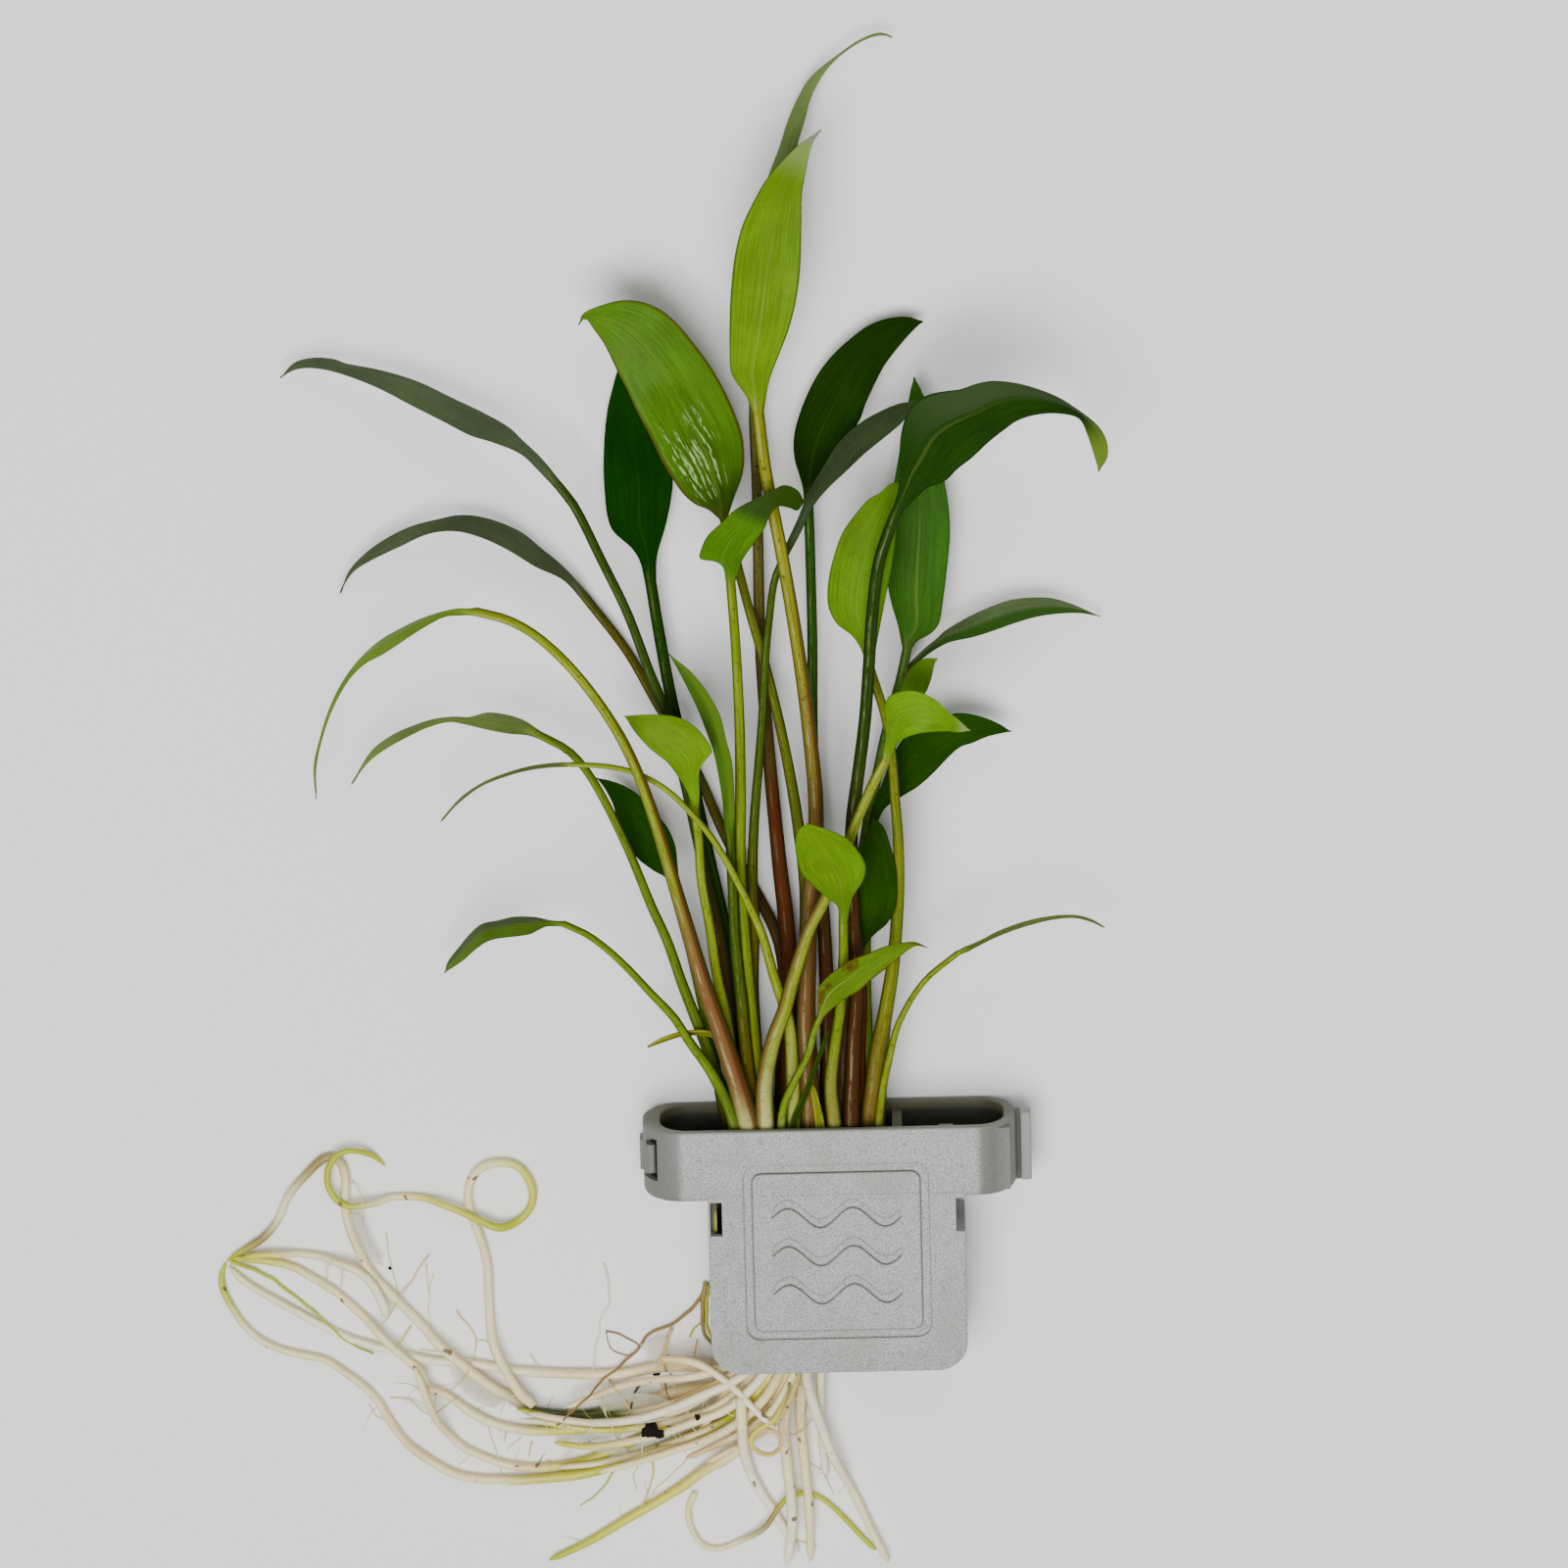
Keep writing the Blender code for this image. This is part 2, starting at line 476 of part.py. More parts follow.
def leaf_centre(leaf):
    """Find the points of the leaf's centre line, and how many of them belong to the stalk."""
    mouth, neck, middle, tip = leaf.heights
    base = leaf.stalk[0]
    flat_stalk = [Vector((x, y, 0)) for x, y in leaf.stalk + leaf.blade[:1]]
    along_stalk = distances(flat_stalk)
    flat_blade = [Vector((x, y, 0)) for x, y in leaf.blade]
    along_blade = distances(flat_blade)
    points = [Vector((base[0], CROWN_TOP + GAP, mouth))]
    for (x, y), travelled in zip(leaf.stalk, along_stalk):
        points.append(seen(x, y, mixed(mouth, neck, travelled / along_stalk[-1])))
    for (x, y), travelled in zip(leaf.blade, along_blade):
        t = travelled / along_blade[-1]
        height = (neck * (1 - t) * (1 - 2 * t) + middle * 4 * t * (1 - t) + tip * t * (2 * t - 1))
        points.append(seen(x, y, height))
    return points, len(leaf.stalk) + 1


def blade_half_width(leaf, t):
    """Give the blade's half width at this share of its length."""
    p = leaf.broadest
    swell = (max(t, 0.0) / p) ** (p * 1.7) * ((1 - t) / (1 - p)) ** ((1 - p) * 1.7)
    narrow = mixed(leaf.thick[1] / 2, TIP_HALF_WIDTH, t)
    return narrow + (leaf.wide / 2 - narrow) * swell


def leaf_section(leaf, centre, forward, radius, t):
    """Give the six corners of a leaf's section, from round stalk to flat blade."""
    side = forward.cross(Vector((0, 0, 1))).normalized()
    normal = side.cross(forward).normalized()
    spread = min(max(t / 0.12, 0.0), 1.0)
    roll = math.radians(leaf.roll) * min(max((t + 0.25) / 0.4, 0.0), 1.0)
    across = side * math.cos(roll) + normal * math.sin(roll)
    upward = normal * math.cos(roll) - side * math.sin(roll)
    half_width = radius * 0.87
    edge_thick = radius * 0.5
    centre_thick = radius
    lift = 0.0
    if t > 0:
        flat = blade_half_width(leaf, t)
        half_width = mixed(half_width, flat, spread)
        edge_thick = mixed(edge_thick, MARGIN_THICK / 2, spread)
        centre_thick = mixed(centre_thick, MIDRIB_THICK / 2 * (1 - 0.5 * t), spread)
        lift = flat * math.tan(math.radians(leaf.cup)) * spread
    return [centre + across * half_width + upward * (lift - edge_thick),
            centre + across * half_width + upward * (lift + edge_thick),
            centre + upward * centre_thick,
            centre - across * half_width + upward * (lift + edge_thick),
            centre - across * half_width + upward * (lift - edge_thick),
            centre - upward * centre_thick]


def make_leaf(name, leaf, collection):
    """Loft one leaf from its cut base, along the stalk and out to the blade's tip."""
    points, stalk_count = leaf_centre(leaf)
    line = smooth_line(points)
    travelled = distances(line)
    neck_at = travelled[stalk_count * ROUTE_PARTS]
    end_at = travelled[-1]
    steps = max(4, round(neck_at / STALK_STEP))
    stations = [(neck_at * i / steps, 0.0) for i in range(steps + 1)]
    for t in BLADE_SECTIONS:
        stations.append((mixed(neck_at, end_at, t), t))
    shape = bmesh.new()
    rings = []
    for distance, t in stations:
        centre = point_at(line, travelled, distance)
        ahead = point_at(line, travelled, min(distance + 1.0, end_at))
        behind = point_at(line, travelled, max(distance - 1.0, 0.0))
        forward = (ahead - behind).normalized()
        radius = mixed(leaf.thick[0], leaf.thick[1], min(distance / neck_at, 1.0)) / 2
        if distance == 0.0:
            forward = Vector((0, 1, 0))
        corners = leaf_section(leaf, centre, forward, radius, t)
        rings.append([shape.verts.new(corner * MM) for corner in corners])
    for first, second in zip(rings, rings[1:]):
        for k in range(6):
            n = (k + 1) % 6
            shape.faces.new((first[k], first[n], second[n], second[k]))
    shape.faces.new(rings[0][::-1])
    shape.faces.new(rings[-1])
    bmesh.ops.recalc_face_normals(shape, faces=shape.faces)
    mesh = bpy.data.meshes.new(name)
    shape.to_mesh(mesh)
    shape.free()
    mesh.shade_smooth()
    return add_object(name, mesh, collection, new_material(f"{name}_skin", leaf.colour, 0.35))


def make_tube(name, points, radii, collection, material):
    """Draw a round, tapering tube through the points, with closed ends."""
    curve = bpy.data.curves.new(name, "CURVE")
    curve.dimensions = "3D"
    curve.bevel_depth = MM
    curve.bevel_resolution = 1
    curve.use_fill_caps = True
    spline = curve.splines.new("POLY")
    spline.points.add(len(points) - 1)
    for corner, point, radius in zip(spline.points, points, radii):
        corner.co = (*(point * MM), 1.0)
        corner.radius = radius
    curve.materials.append(material)
    tube = bpy.data.objects.new(name, curve)
    collection.objects.link(tube)
    return tube


def make_shoot(name, shoot, collection):
    """Draw a bladeless stalk from the crown to its tip."""
    low, high = shoot.heights
    flat = [Vector((x, y, 0)) for x, y in shoot.route]
    along = distances(flat)
    points = [Vector((shoot.route[0][0], CROWN_TOP + GAP, low))]
    for spot, travelled in zip(flat, along):
        points.append(seen(spot.x, spot.y, mixed(low, high, travelled / along[-1])))
    line = smooth_line(points, 2)
    travelled = distances(line)
    radii = [mixed(shoot.thick[0], shoot.thick[1], d / travelled[-1]) / 2 for d in travelled]
    return make_tube(name, line, radii, collection,
                     new_material(f"{name}_skin", STALK_YELLOW, 0.45))


def root_line(root):
    """Give a root's dense centre line, lying on the table or coming down to it, and its radii."""
    start_radius, end_radius = root.thick[0] / 2, root.thick[1] / 2
    flat = [Vector((x, y, 0)) for x, y in root.route]
    along = distances(flat)
    points = []
    if root.crown:
        x, height = root.crown
        points.append(Vector((x, CROWN_BOTTOM - GAP, height)))
        points.append(Vector((mixed(x, root.route[0][0], 0.4), -35.0, height)))
    for spot, travelled in zip(flat, along):
        height = mixed(start_radius, end_radius, travelled / along[-1])
        if root.crown:
            fade = max(1 - travelled / ROOT_DESCENT, 0.0)
            height = mixed(height, root.crown[1], fade * fade * (3 - 2 * fade))
        points.append(seen(spot.x, spot.y, height))
    line = smooth_line(points)
    travelled = distances(line)
    radii = [mixed(start_radius, end_radius, d / travelled[-1]) for d in travelled]
    for spot, radius in zip(line, radii):
        spot.z = max(spot.z, radius)
    return line, travelled, radii


def lay_over(line, travelled, radii, laid):
    """Raise a root where it crosses those already laid, or itself, with even ramps."""
    others = laid + list(zip(line, radii))
    tree = KDTree(len(others))
    for index, (other, _) in enumerate(others):
        tree.insert((other.x, other.y, 0.0), index)
    tree.balance()
    widest = radii[0] + ROOT_THICKEST / 2 + ROOT_CLEARANCE
    resting = [spot.z for spot in line]
    holds = {}
    for _ in range(30):
        raised = False
        for i, spot in enumerate(line):
            need = spot.z
            near = tree.find_range((spot.x, spot.y, 0.0), widest)
            for _, index, apart in sorted(near, key=lambda found: others[found[1]][0].z):
                own = index - len(laid)
                if own >= 0 and travelled[i] - travelled[own] < 8 * radii[i] + 4:
                    continue
                other, other_radius = others[index]
                reach = radii[i] + other_radius + ROOT_CLEARANCE
                if apart < reach and abs(need - other.z) < math.sqrt(reach ** 2 - apart ** 2):
                    need = other.z + math.sqrt(reach ** 2 - apart ** 2) + 0.01
            if need > spot.z:
                holds[i] = need
                raised = True
        for i, spot in enumerate(line):
            spot.z = max([resting[i]] + [
                need - ROOT_CLIMB * max(abs(travelled[i] - travelled[k]) - ROOT_STEP, 0)
                for k, need in holds.items()])
        if not raised:
            break


def make_roots(collection):
    """Lay the roots one after another, each over those before it."""
    laid = []
    for name, root in ROOTS.items():
        line, travelled, radii = root_line(root)
        lay_over(line, travelled, radii, laid)
        laid.extend(zip(line, radii))
        true_length = distances(line)
        count = max(4, round(true_length[-1] / ROOT_STEP))
        points = [point_at(line, true_length, true_length[-1] * i / count)
                  for i in range(count + 1)]
        thick = [mixed(radii[0], radii[-1], i / count) for i in range(count + 1)]
        make_tube(name, points, thick, collection, new_material(f"{name}_skin", ROOT_CREAM, 0.5))


def rounded_outline(left, right, bottom, top, bottom_turn, top_turn, parts=5):
    """Trace a rectangle with round corners, anticlockwise."""
    corners = [(right, bottom, bottom_turn, -90), (right, top, top_turn, 0),
               (left, top, top_turn, 90), (left, bottom, bottom_turn, 180)]
    outline = []
    for x, y, turn, angle in corners:
        middle_x = x - turn if x == right else x + turn
        middle_y = y - turn if y == top else y + turn
        steps = parts if turn else 0
        for k in range(steps + 1):
            bearing = math.radians(angle + 90 * k / max(steps, 1))
            outline.append((middle_x + turn * math.cos(bearing),
                            middle_y + turn * math.sin(bearing)))
    return outline


def outline_solid(name, outlines, low, high, collection, turn=None):
    """Fill flat outlines, with holes where they nest, and give them thickness."""
    curve = bpy.data.curves.new(name, "CURVE")
    curve.dimensions = "2D"
    curve.fill_mode = "BOTH"
    curve.extrude = (high - low) / 2 * MM
    for outline in outlines:
        spline = curve.splines.new("POLY")
        spline.points.add(len(outline) - 1)
        spline.use_cyclic_u = True
        for corner, (x, y) in zip(spline.points, outline):
            corner.co = (x * MM, y * MM, 0.0, 1.0)
    drawn = bpy.data.objects.new(name, curve)
    collection.objects.link(drawn)
    drawn.matrix_world = (turn or Matrix()) @ Matrix.Translation((0, 0, (low + high) / 2 * MM))
    bpy.context.view_layer.update()
    evaluated = drawn.evaluated_get(bpy.context.evaluated_depsgraph_get())
    mesh = bpy.data.meshes.new_from_object(evaluated)
    place = drawn.matrix_world.copy()
    bpy.data.objects.remove(drawn, do_unlink=True)
    bpy.data.curves.remove(curve)
    shape = bmesh.new()
    shape.from_mesh(mesh)
    bmesh.ops.remove_doubles(shape, verts=shape.verts, dist=0.00001)
    bmesh.ops.recalc_face_normals(shape, faces=shape.faces)
    shape.to_mesh(mesh)
    shape.free()
    solid = add_object(name, mesh, collection)
    solid.matrix_world = place
    return solid


def box(name, low, high, collection):
    """Add a box between two corners."""
    shape = bmesh.new()
    bmesh.ops.create_cube(shape, size=1.0)
    middle = (Vector(low) + Vector(high)) / 2
    size = Vector(high) - Vector(low)
    for corner in shape.verts:
        corner.co = Vector(corner.co[k] * size[k] + middle[k] for k in range(3)) * MM
    mesh = bpy.data.meshes.new(name)
    shape.to_mesh(mesh)
    shape.free()
    return add_object(name, mesh, collection)


def combine(item, others, operation):
    """Join or cut the item with other solids, which stay as hidden guides."""
    for other in others:
        modifier = item.modifiers.new(f"{operation.lower()}_{other.name}", "BOOLEAN")
        modifier.operation = operation
        modifier.solver = "EXACT"
        modifier.object = other
        other.hide_render = True
        other.display_type = "WIRE"


def make_pot(collection, cutters):
    """Mould the pot: collar, narrower body, latch tab, clip tongue, rib, windows and groove."""
    upright = Matrix.Rotation(math.radians(90), 4, "X")
    left_end = COLLAR_MIDDLE - COLLAR_WIDTH / 2
    right_end = COLLAR_MIDDLE + COLLAR_WIDTH / 2
    left_side = BODY_MIDDLE - BODY_WIDTH / 2
    right_side = BODY_MIDDLE + BODY_WIDTH / 2
    under_collar = -COLLAR_HEIGHT
    collar = outline_solid(
        "pot", [rounded_outline(left_end, right_end, 0, POT_DEPTH, COLLAR_TURN, COLLAR_TURN)],
        0, COLLAR_HEIGHT, collection, upright)
    body = outline_solid(
        "pot_body", [rounded_outline(left_side, right_side, -POT_HEIGHT, -COLLAR_HEIGHT / 2,
                                     BODY_CORNER, 0)],
        0, POT_DEPTH, cutters)
    tab = box("pot_tab", (left_end - LATCH_REACH, -9.4, 6.4),
              (left_end + OVERRUN, -3.4, 10.4), cutters)
    tongue = box("pot_tongue", (right_end - OVERRUN, under_collar + 0.1, 6.4),
                 (right_end + TONGUE_REACH, -0.1, 8.0), cutters)
    lip = box("pot_lip", (right_end + TONGUE_REACH - LIP_WIDTH, under_collar + 0.3, 6.9),
              (right_end + TONGUE_REACH, -0.3, 9.2), cutters)
    cavity = outline_solid(
        "cut_collar", [rounded_outline(left_end + LEFT_END_WALL, right_end - RIGHT_END_WALL,
                                       WALL, POT_DEPTH - WALL, END_TURN, END_TURN)],
        -OVERRUN, COLLAR_HEIGHT - WALL, cutters, upright)
    hollow = box("cut_body", (left_side + WALL, -POT_HEIGHT - OVERRUN, WALL),
                 (right_side - RIGHT_SIDE_WALL, under_collar / 2, POT_DEPTH - WALL), cutters)
    slot = box("cut_slot", (left_end - OVERRUN, -9.9, 11.2), (left_end + 2.6, -1.8, 15.7),
               cutters)
    left_window = box("cut_left_window",
                      (left_side + WINDOW_INSET, under_collar - NOTCH_HEIGHT,
                       POT_DEPTH - WALL - OVERRUN),
                      (left_side + WINDOW_INSET + WINDOW_WIDTH, under_collar,
                       POT_DEPTH + OVERRUN), cutters)
    right_notch = box("cut_right_notch",
                      (right_side - NOTCH_WIDTH, under_collar - NOTCH_HEIGHT, -OVERRUN),
                      (right_side + OVERRUN, under_collar, POT_DEPTH + OVERRUN), cutters)
    side_windows = box("cut_side_windows", (left_side - OVERRUN, -38, 4.5),
                       (right_side + OVERRUN, -24, 12.5), cutters)
    half_groove = GROOVE_SIDE / 2
    inside = half_groove - GROOVE_WIDTH
    groove = outline_solid(
        "cut_groove",
        [rounded_outline(GROOVE_ACROSS - half_groove, GROOVE_ACROSS + half_groove,
                         GROOVE_MIDDLE - half_groove, GROOVE_MIDDLE + half_groove,
                         GROOVE_TURN, GROOVE_TURN, 4),
         rounded_outline(GROOVE_ACROSS - inside, GROOVE_ACROSS + inside,
                         GROOVE_MIDDLE - inside, GROOVE_MIDDLE + inside,
                         GROOVE_TURN - GROOVE_WIDTH / 2, GROOVE_TURN - GROOVE_WIDTH / 2, 4)],
        POT_DEPTH - GROOVE_DEPTH, POT_DEPTH + OVERRUN, cutters)
    rib = box("pot_rib", (RIB_LEFT, under_collar + 0.5, WALL / 2),
              (RIB_LEFT + RIB_THICK, -WALL, RIB_RISE), cutters)
    combine(collar, [body, tab, tongue, lip], "UNION")
    combine(collar, [cavity, hollow, slot, left_window, right_notch, side_windows, groove],
            "DIFFERENCE")
    combine(collar, [rib], "UNION")
    collar.data.materials.append(new_material("pot_plastic", POT_GREY, 0.65))
    return collar


def make_crown(collection):
    """Shape the short, stout crown that the leaves and the roots grow from."""
    crown = box("crown", (CROWN_MIDDLE - CROWN_WIDTH / 2, CROWN_BOTTOM, CROWN_FLOOR),
                (CROWN_MIDDLE + CROWN_WIDTH / 2, CROWN_TOP, CROWN_ROOF), collection)
    crown.data.materials.append(new_material("crown_skin", CROWN_BROWN, 0.7))
    bevel = crown.modifiers.new("round", "BEVEL")
    bevel.width = CROWN_TURN * MM
    bevel.segments = 2
    return crown


def build():
    """Model every piece of the plant and its pot, and hang them on the middle of the mouth."""
    clear_scene()
    parts = new_collection("potted_cryptocoryne")
    cutters = new_collection("cutters")
    make_pot(parts, cutters)
    make_crown(parts)
    for name, leaf in LEAVES.items():
        make_leaf(name, leaf, parts)
    for name, shoot in SHOOTS.items():
        make_shoot(name, shoot, parts)
    make_roots(parts)
    mouth = bpy.data.objects.new("mouth", None)
    mouth.location.y = POT_HEIGHT / 2 * MM
    for item in list(parts.objects) + list(cutters.objects):
        item.parent = mouth
    parts.objects.link(mouth)


build()
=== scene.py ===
"""Potted cryptocoryne on its back: leaves, roots and grey clip pot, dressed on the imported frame."""

import math
import random

import bpy
from mathutils import Matrix, Vector, noise
from mathutils.kdtree import KDTree


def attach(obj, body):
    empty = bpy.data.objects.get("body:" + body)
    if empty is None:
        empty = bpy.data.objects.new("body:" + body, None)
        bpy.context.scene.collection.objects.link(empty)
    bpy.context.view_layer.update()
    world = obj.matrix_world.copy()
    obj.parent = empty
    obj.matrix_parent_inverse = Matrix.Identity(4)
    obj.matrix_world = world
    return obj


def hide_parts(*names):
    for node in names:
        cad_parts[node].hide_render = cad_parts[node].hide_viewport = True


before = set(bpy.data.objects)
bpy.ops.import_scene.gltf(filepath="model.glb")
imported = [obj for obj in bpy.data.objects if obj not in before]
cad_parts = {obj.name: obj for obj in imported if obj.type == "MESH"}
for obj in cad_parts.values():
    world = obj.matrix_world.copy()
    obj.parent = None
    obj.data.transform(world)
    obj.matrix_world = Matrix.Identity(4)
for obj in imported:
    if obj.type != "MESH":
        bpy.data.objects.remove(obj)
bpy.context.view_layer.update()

# The eye that photographed the plant stands three metres off and leans past the leaf tips. The
# frame is square with the pot, which the photograph shows turned a little, so the eye turns.
# Outlines are written in millimetres as (across, along) from the middle of the pot's mouth, on the
# plane square to its line of sight, and each height lies above the table.
MM = 0.001
EYE_DISTANCE = 3000.0
EYE_LEAN = math.radians(18.7)
EYE_AIM = Vector((-9.5, 61.8, 0.0))
MOUTH = Vector((0.0, 23.9, 0.0))
FOCAL_LENGTH = 375.0
EYE_TURN = math.radians(1.35)
ROUTE_ORIGIN = Vector((0.0, 23.5, 0.0))
eye = EYE_AIM + EYE_DISTANCE * Vector((0.0, math.sin(EYE_LEAN), math.cos(EYE_LEAN)))


def turned(spot):
    """Turn a place of the photograph's plane square with the pot."""
    return Matrix.Rotation(-EYE_TURN, 3, "Z") @ spot + ROUTE_ORIGIN


def seen(across, along, height):
    """Place a point of an outline on its line of sight, at its height above the table."""
    reach = Vector((across, along, 0.0)) - EYE_AIM
    nearness = 1 - reach.y * math.sin(EYE_LEAN) / EYE_DISTANCE
    spot = (EYE_AIM + reach * nearness).lerp(eye, height / eye.z)
    return turned(spot)


def deselect():
    """Leave nothing selected."""
    bpy.ops.object.select_all(action="DESELECT")


deselect()
bpy.ops.object.camera_add(
    location=turned(eye) * MM,
    rotation=(-EYE_LEAN, 0.0, -EYE_TURN))
camera = bpy.context.object
camera.name = "camera"
camera.data.lens = FOCAL_LENGTH
camera.data.sensor_width = 36.0
camera.data.clip_end = 20.0
bpy.context.scene.camera = camera


# Studio: the plant lies on a matt white table under a bright even sky. One large soft lamp hangs
# above it and a smaller one past the leaf tips.
class Node:
    """A shader socket that can be written in sums."""

    def __init__(self, tree, socket):
        self.tree = tree
        self.socket = socket

    def math(self, operation, *others):
        """Add a Math node on this socket and the others."""
        node = self.tree.nodes.new("ShaderNodeMath")
        node.operation = operation
        for slot, value in zip(node.inputs, (self, *others)):
            if isinstance(value, Node):
                self.tree.links.new(value.socket, slot)
            else:
                slot.default_value = value
        return Node(self.tree, node.outputs[0])

    def __add__(self, other):
        return self.math("ADD", other)

    __radd__ = __add__

    def __sub__(self, other):
        return self.math("SUBTRACT", other)

    def __rsub__(self, other):
        return self * -1.0 + other

    def __mul__(self, other):
        return self.math("MULTIPLY", other)

    __rmul__ = __mul__

    def __truediv__(self, other):
        return self.math("DIVIDE", other)

    def __pow__(self, other):
        return self.math("POWER", other)

    def __abs__(self):
        return self.math("ABSOLUTE")


class Finish:
    """A material and the nodes that paint it."""

    def __init__(self, name):
        self.material = bpy.data.materials.new(name)
        self.material.use_nodes = True
        self.tree = self.material.node_tree
        self.shader = self.tree.nodes["Principled BSDF"]

    def add(self, kind, settings=None, output=0, **values):
        """Add a node of this type with its settings, its values and its links.

        Each value goes to the input of its name, or to the input of its number where it is i0, i1
        and so on.
        """
        node = self.tree.nodes.new(kind)
        for key, value in (settings or {}).items():
            setattr(node, key, value)
        for key, value in values.items():
            slot = node.inputs[int(key[1:])] if key[0] == "i" and key[1:].isdigit() else \
                node.inputs[key.replace("_", " ").title()]
            if isinstance(value, Node):
                self.tree.links.new(value.socket, slot)
            else:
                slot.default_value = value
        return Node(self.tree, node.outputs[output])

    def place(self):
        """Read the place on the piece."""
        return self.add("ShaderNodeTexCoord", output=3)

    def trait(self, name, part):
        """Read one part of a named attribute."""
        whole = self.add("ShaderNodeAttribute", {"attribute_name": name}, output=1)
        return self.add("ShaderNodeSeparateXYZ", output=part, vector=whole)

    def cloud(self, vector, scale, detail=3.0, roughness=0.55):
        """Read a soft noise."""
        return self.add("ShaderNodeTexNoise", vector=vector, scale=scale, detail=detail,
                        roughness=roughness)

    def join(self, x, y, z):
        """Join three values into a vector."""
        return self.add("ShaderNodeCombineXYZ", i0=x, i1=y, i2=z)

    def ramp(self, value, low, high):
        """Run from 0 to 1 smoothly as the value goes from low to high."""
        return self.add("ShaderNodeMapRange", {"interpolation_type": "SMOOTHSTEP"}, i0=value,
                        i1=low, i2=high)

    def blend(self, first, second, factor):
        """Blend two colours."""
        node = self.tree.nodes.new("ShaderNodeMix")
        node.data_type = "RGBA"
        for index, value in ((0, factor), (6, first), (7, second)):
            if isinstance(value, Node):
                self.tree.links.new(value.socket, node.inputs[index])
            else:
                node.inputs[index].default_value = (*value, 1.0) if index else value
        return Node(self.tree, node.outputs[2])

    def paint(self, **sockets):
        """Feed the shader's sockets."""
        for key, value in sockets.items():
            slot = self.shader.inputs[key.replace("_", " ").title().replace("Ior", "IOR")]
            if isinstance(value, Node):
                self.tree.links.new(value.socket, slot)
            elif isinstance(value, tuple) and len(value) == 3 and slot.type == "RGBA":
                slot.default_value = (*value, 1.0)
            else:
                slot.default_value = value

    def relief(self, height, strength, distance):
        """Turn a height into a bumped normal."""
        return self.add("ShaderNodeBump", strength=strength, distance=distance, height=height)


deselect()
bpy.ops.mesh.primitive_plane_add(size=6.0, location=(0.0, 0.0, -0.0003))
table = bpy.context.object
table.name = "table"
table_white = Finish("table_white")
table_white.paint(base_color=(0.95, 0.95, 0.95), roughness=0.9, specular_ior_level=0.2)
table.data.materials.append(table_white.material)

sky = bpy.data.worlds.new("studio_sky")
sky.use_nodes = True
sky.node_tree.nodes["Background"].inputs["Color"].default_value = (1.0, 1.0, 1.0, 1.0)
sky.node_tree.nodes["Background"].inputs["Strength"].default_value = 0.3
bpy.context.scene.world = sky
for lamp_name, place, aim, size, power in (
        ("lamp_above", (-0.2, -0.05, 1.55), (-0.02, 0.08, 0.0), 1.0, 31.0),
        ("lamp_past_tips", (0.25, 1.3, 1.1), (0.0, 0.1, 0.0), 0.45, 3.0)):
    deselect()
    bpy.ops.object.light_add(type="AREA", location=place)
    lamp = bpy.context.object
    lamp.name = lamp_name
    lamp.rotation_euler = (Vector(aim) - Vector(place)).to_track_quat("-Z", "Y").to_euler()
    lamp.data.size = size
    lamp.data.energy = power


# Pot: one injection moulding of matt grey plastic. The stadium-shaped collar clips into a holder
# by the latch at its left and the tongue at its right, the body below it is open at the bottom.
POT_LEFT = -35.6
POT_RIGHT = 33.1
POT_DEPTH = 17.0
POT_WALL = 1.6
POT_TURN = 7.0
LEFT_END_WALL = 3.3
RIGHT_END_WALL = 2.2
RIGHT_SIDE_WALL = 2.4
COLLAR_FOOT = 10.1
COLLAR_TOP = 23.9
BODY_LEFT = -23.9
BODY_RIGHT = 23.5
BODY_FOOT = -23.9
GROOVE_ACROSS = -0.2
GROOVE_HALF = 17.1
GROOVE_WIDTH = 1.6
GROOVE_DEPTH = 0.45
GROOVE_TURN = 2.6
CORE_TURN = 1.8
LATCH_REACH = 0.6
LATCH_FOOT = 14.5
LATCH_TOP = 20.5
TONGUE_REACH = 2.9
TONGUE_FOOT = 10.2
TONGUE_TOP = 23.8
TONGUE_LEVEL = 6.4
LIP_START = 0.9
LIP_FOOT = 10.4
LIP_TOP = 23.6
HOLLOW_TOP = 17.0
SLOT_FOOT = 14.0
SLOT_TOP = 22.1
BAR_FOOT = 15.2
BAR_TOP = 20.6
RIB_RISE = 12.0
STEP_FOOT = 11.2
STEP_TOP = 23.2
STEPS = ((19.0, 21.6), (29.0, 32.0))
WINDOW_START = 0.4
WINDOW_END = 2.6
NOTCH_WIDTH = 1.7
WINDOW_FOOT = 3.5
WINDOW_TOP = 10.1
SIDE_WINDOW_FOOT = -14.1
SIDE_WINDOW_TOP = -0.1


def block(name, low, high):
    """Add a block between two corners, in millimetres."""
    deselect()
    low, high = Vector(low), Vector(high)
    bpy.ops.mesh.primitive_cube_add(size=1.0, location=(low + high) / 2 * MM)
    item = bpy.context.object
    item.name = name
    item.scale = (high - low) * MM
    bpy.ops.object.transform_apply(location=True, rotation=True, scale=True)
    return item


def pick(item):
    """Select this piece alone and make it the active one."""
    deselect()
    item.select_set(True)
    bpy.context.view_layer.objects.active = item


def soften(item, chosen, width, segments):
    """Bevel the edges whose two ends pass the test."""
    pick(item)
    bpy.ops.object.mode_set(mode="EDIT")
    bpy.ops.mesh.select_mode(type="EDGE")
    bpy.ops.mesh.select_all(action="DESELECT")
    bpy.ops.object.mode_set(mode="OBJECT")
    corners = [corner.co / MM for corner in item.data.vertices]
    for edge in item.data.edges:
        edge.select = chosen(corners[edge.vertices[0]], corners[edge.vertices[1]])
    bpy.ops.object.mode_set(mode="EDIT")
    bpy.ops.mesh.bevel(offset=width * MM, segments=segments, profile=0.5, affect="EDGES")
    bpy.ops.object.mode_set(mode="OBJECT")


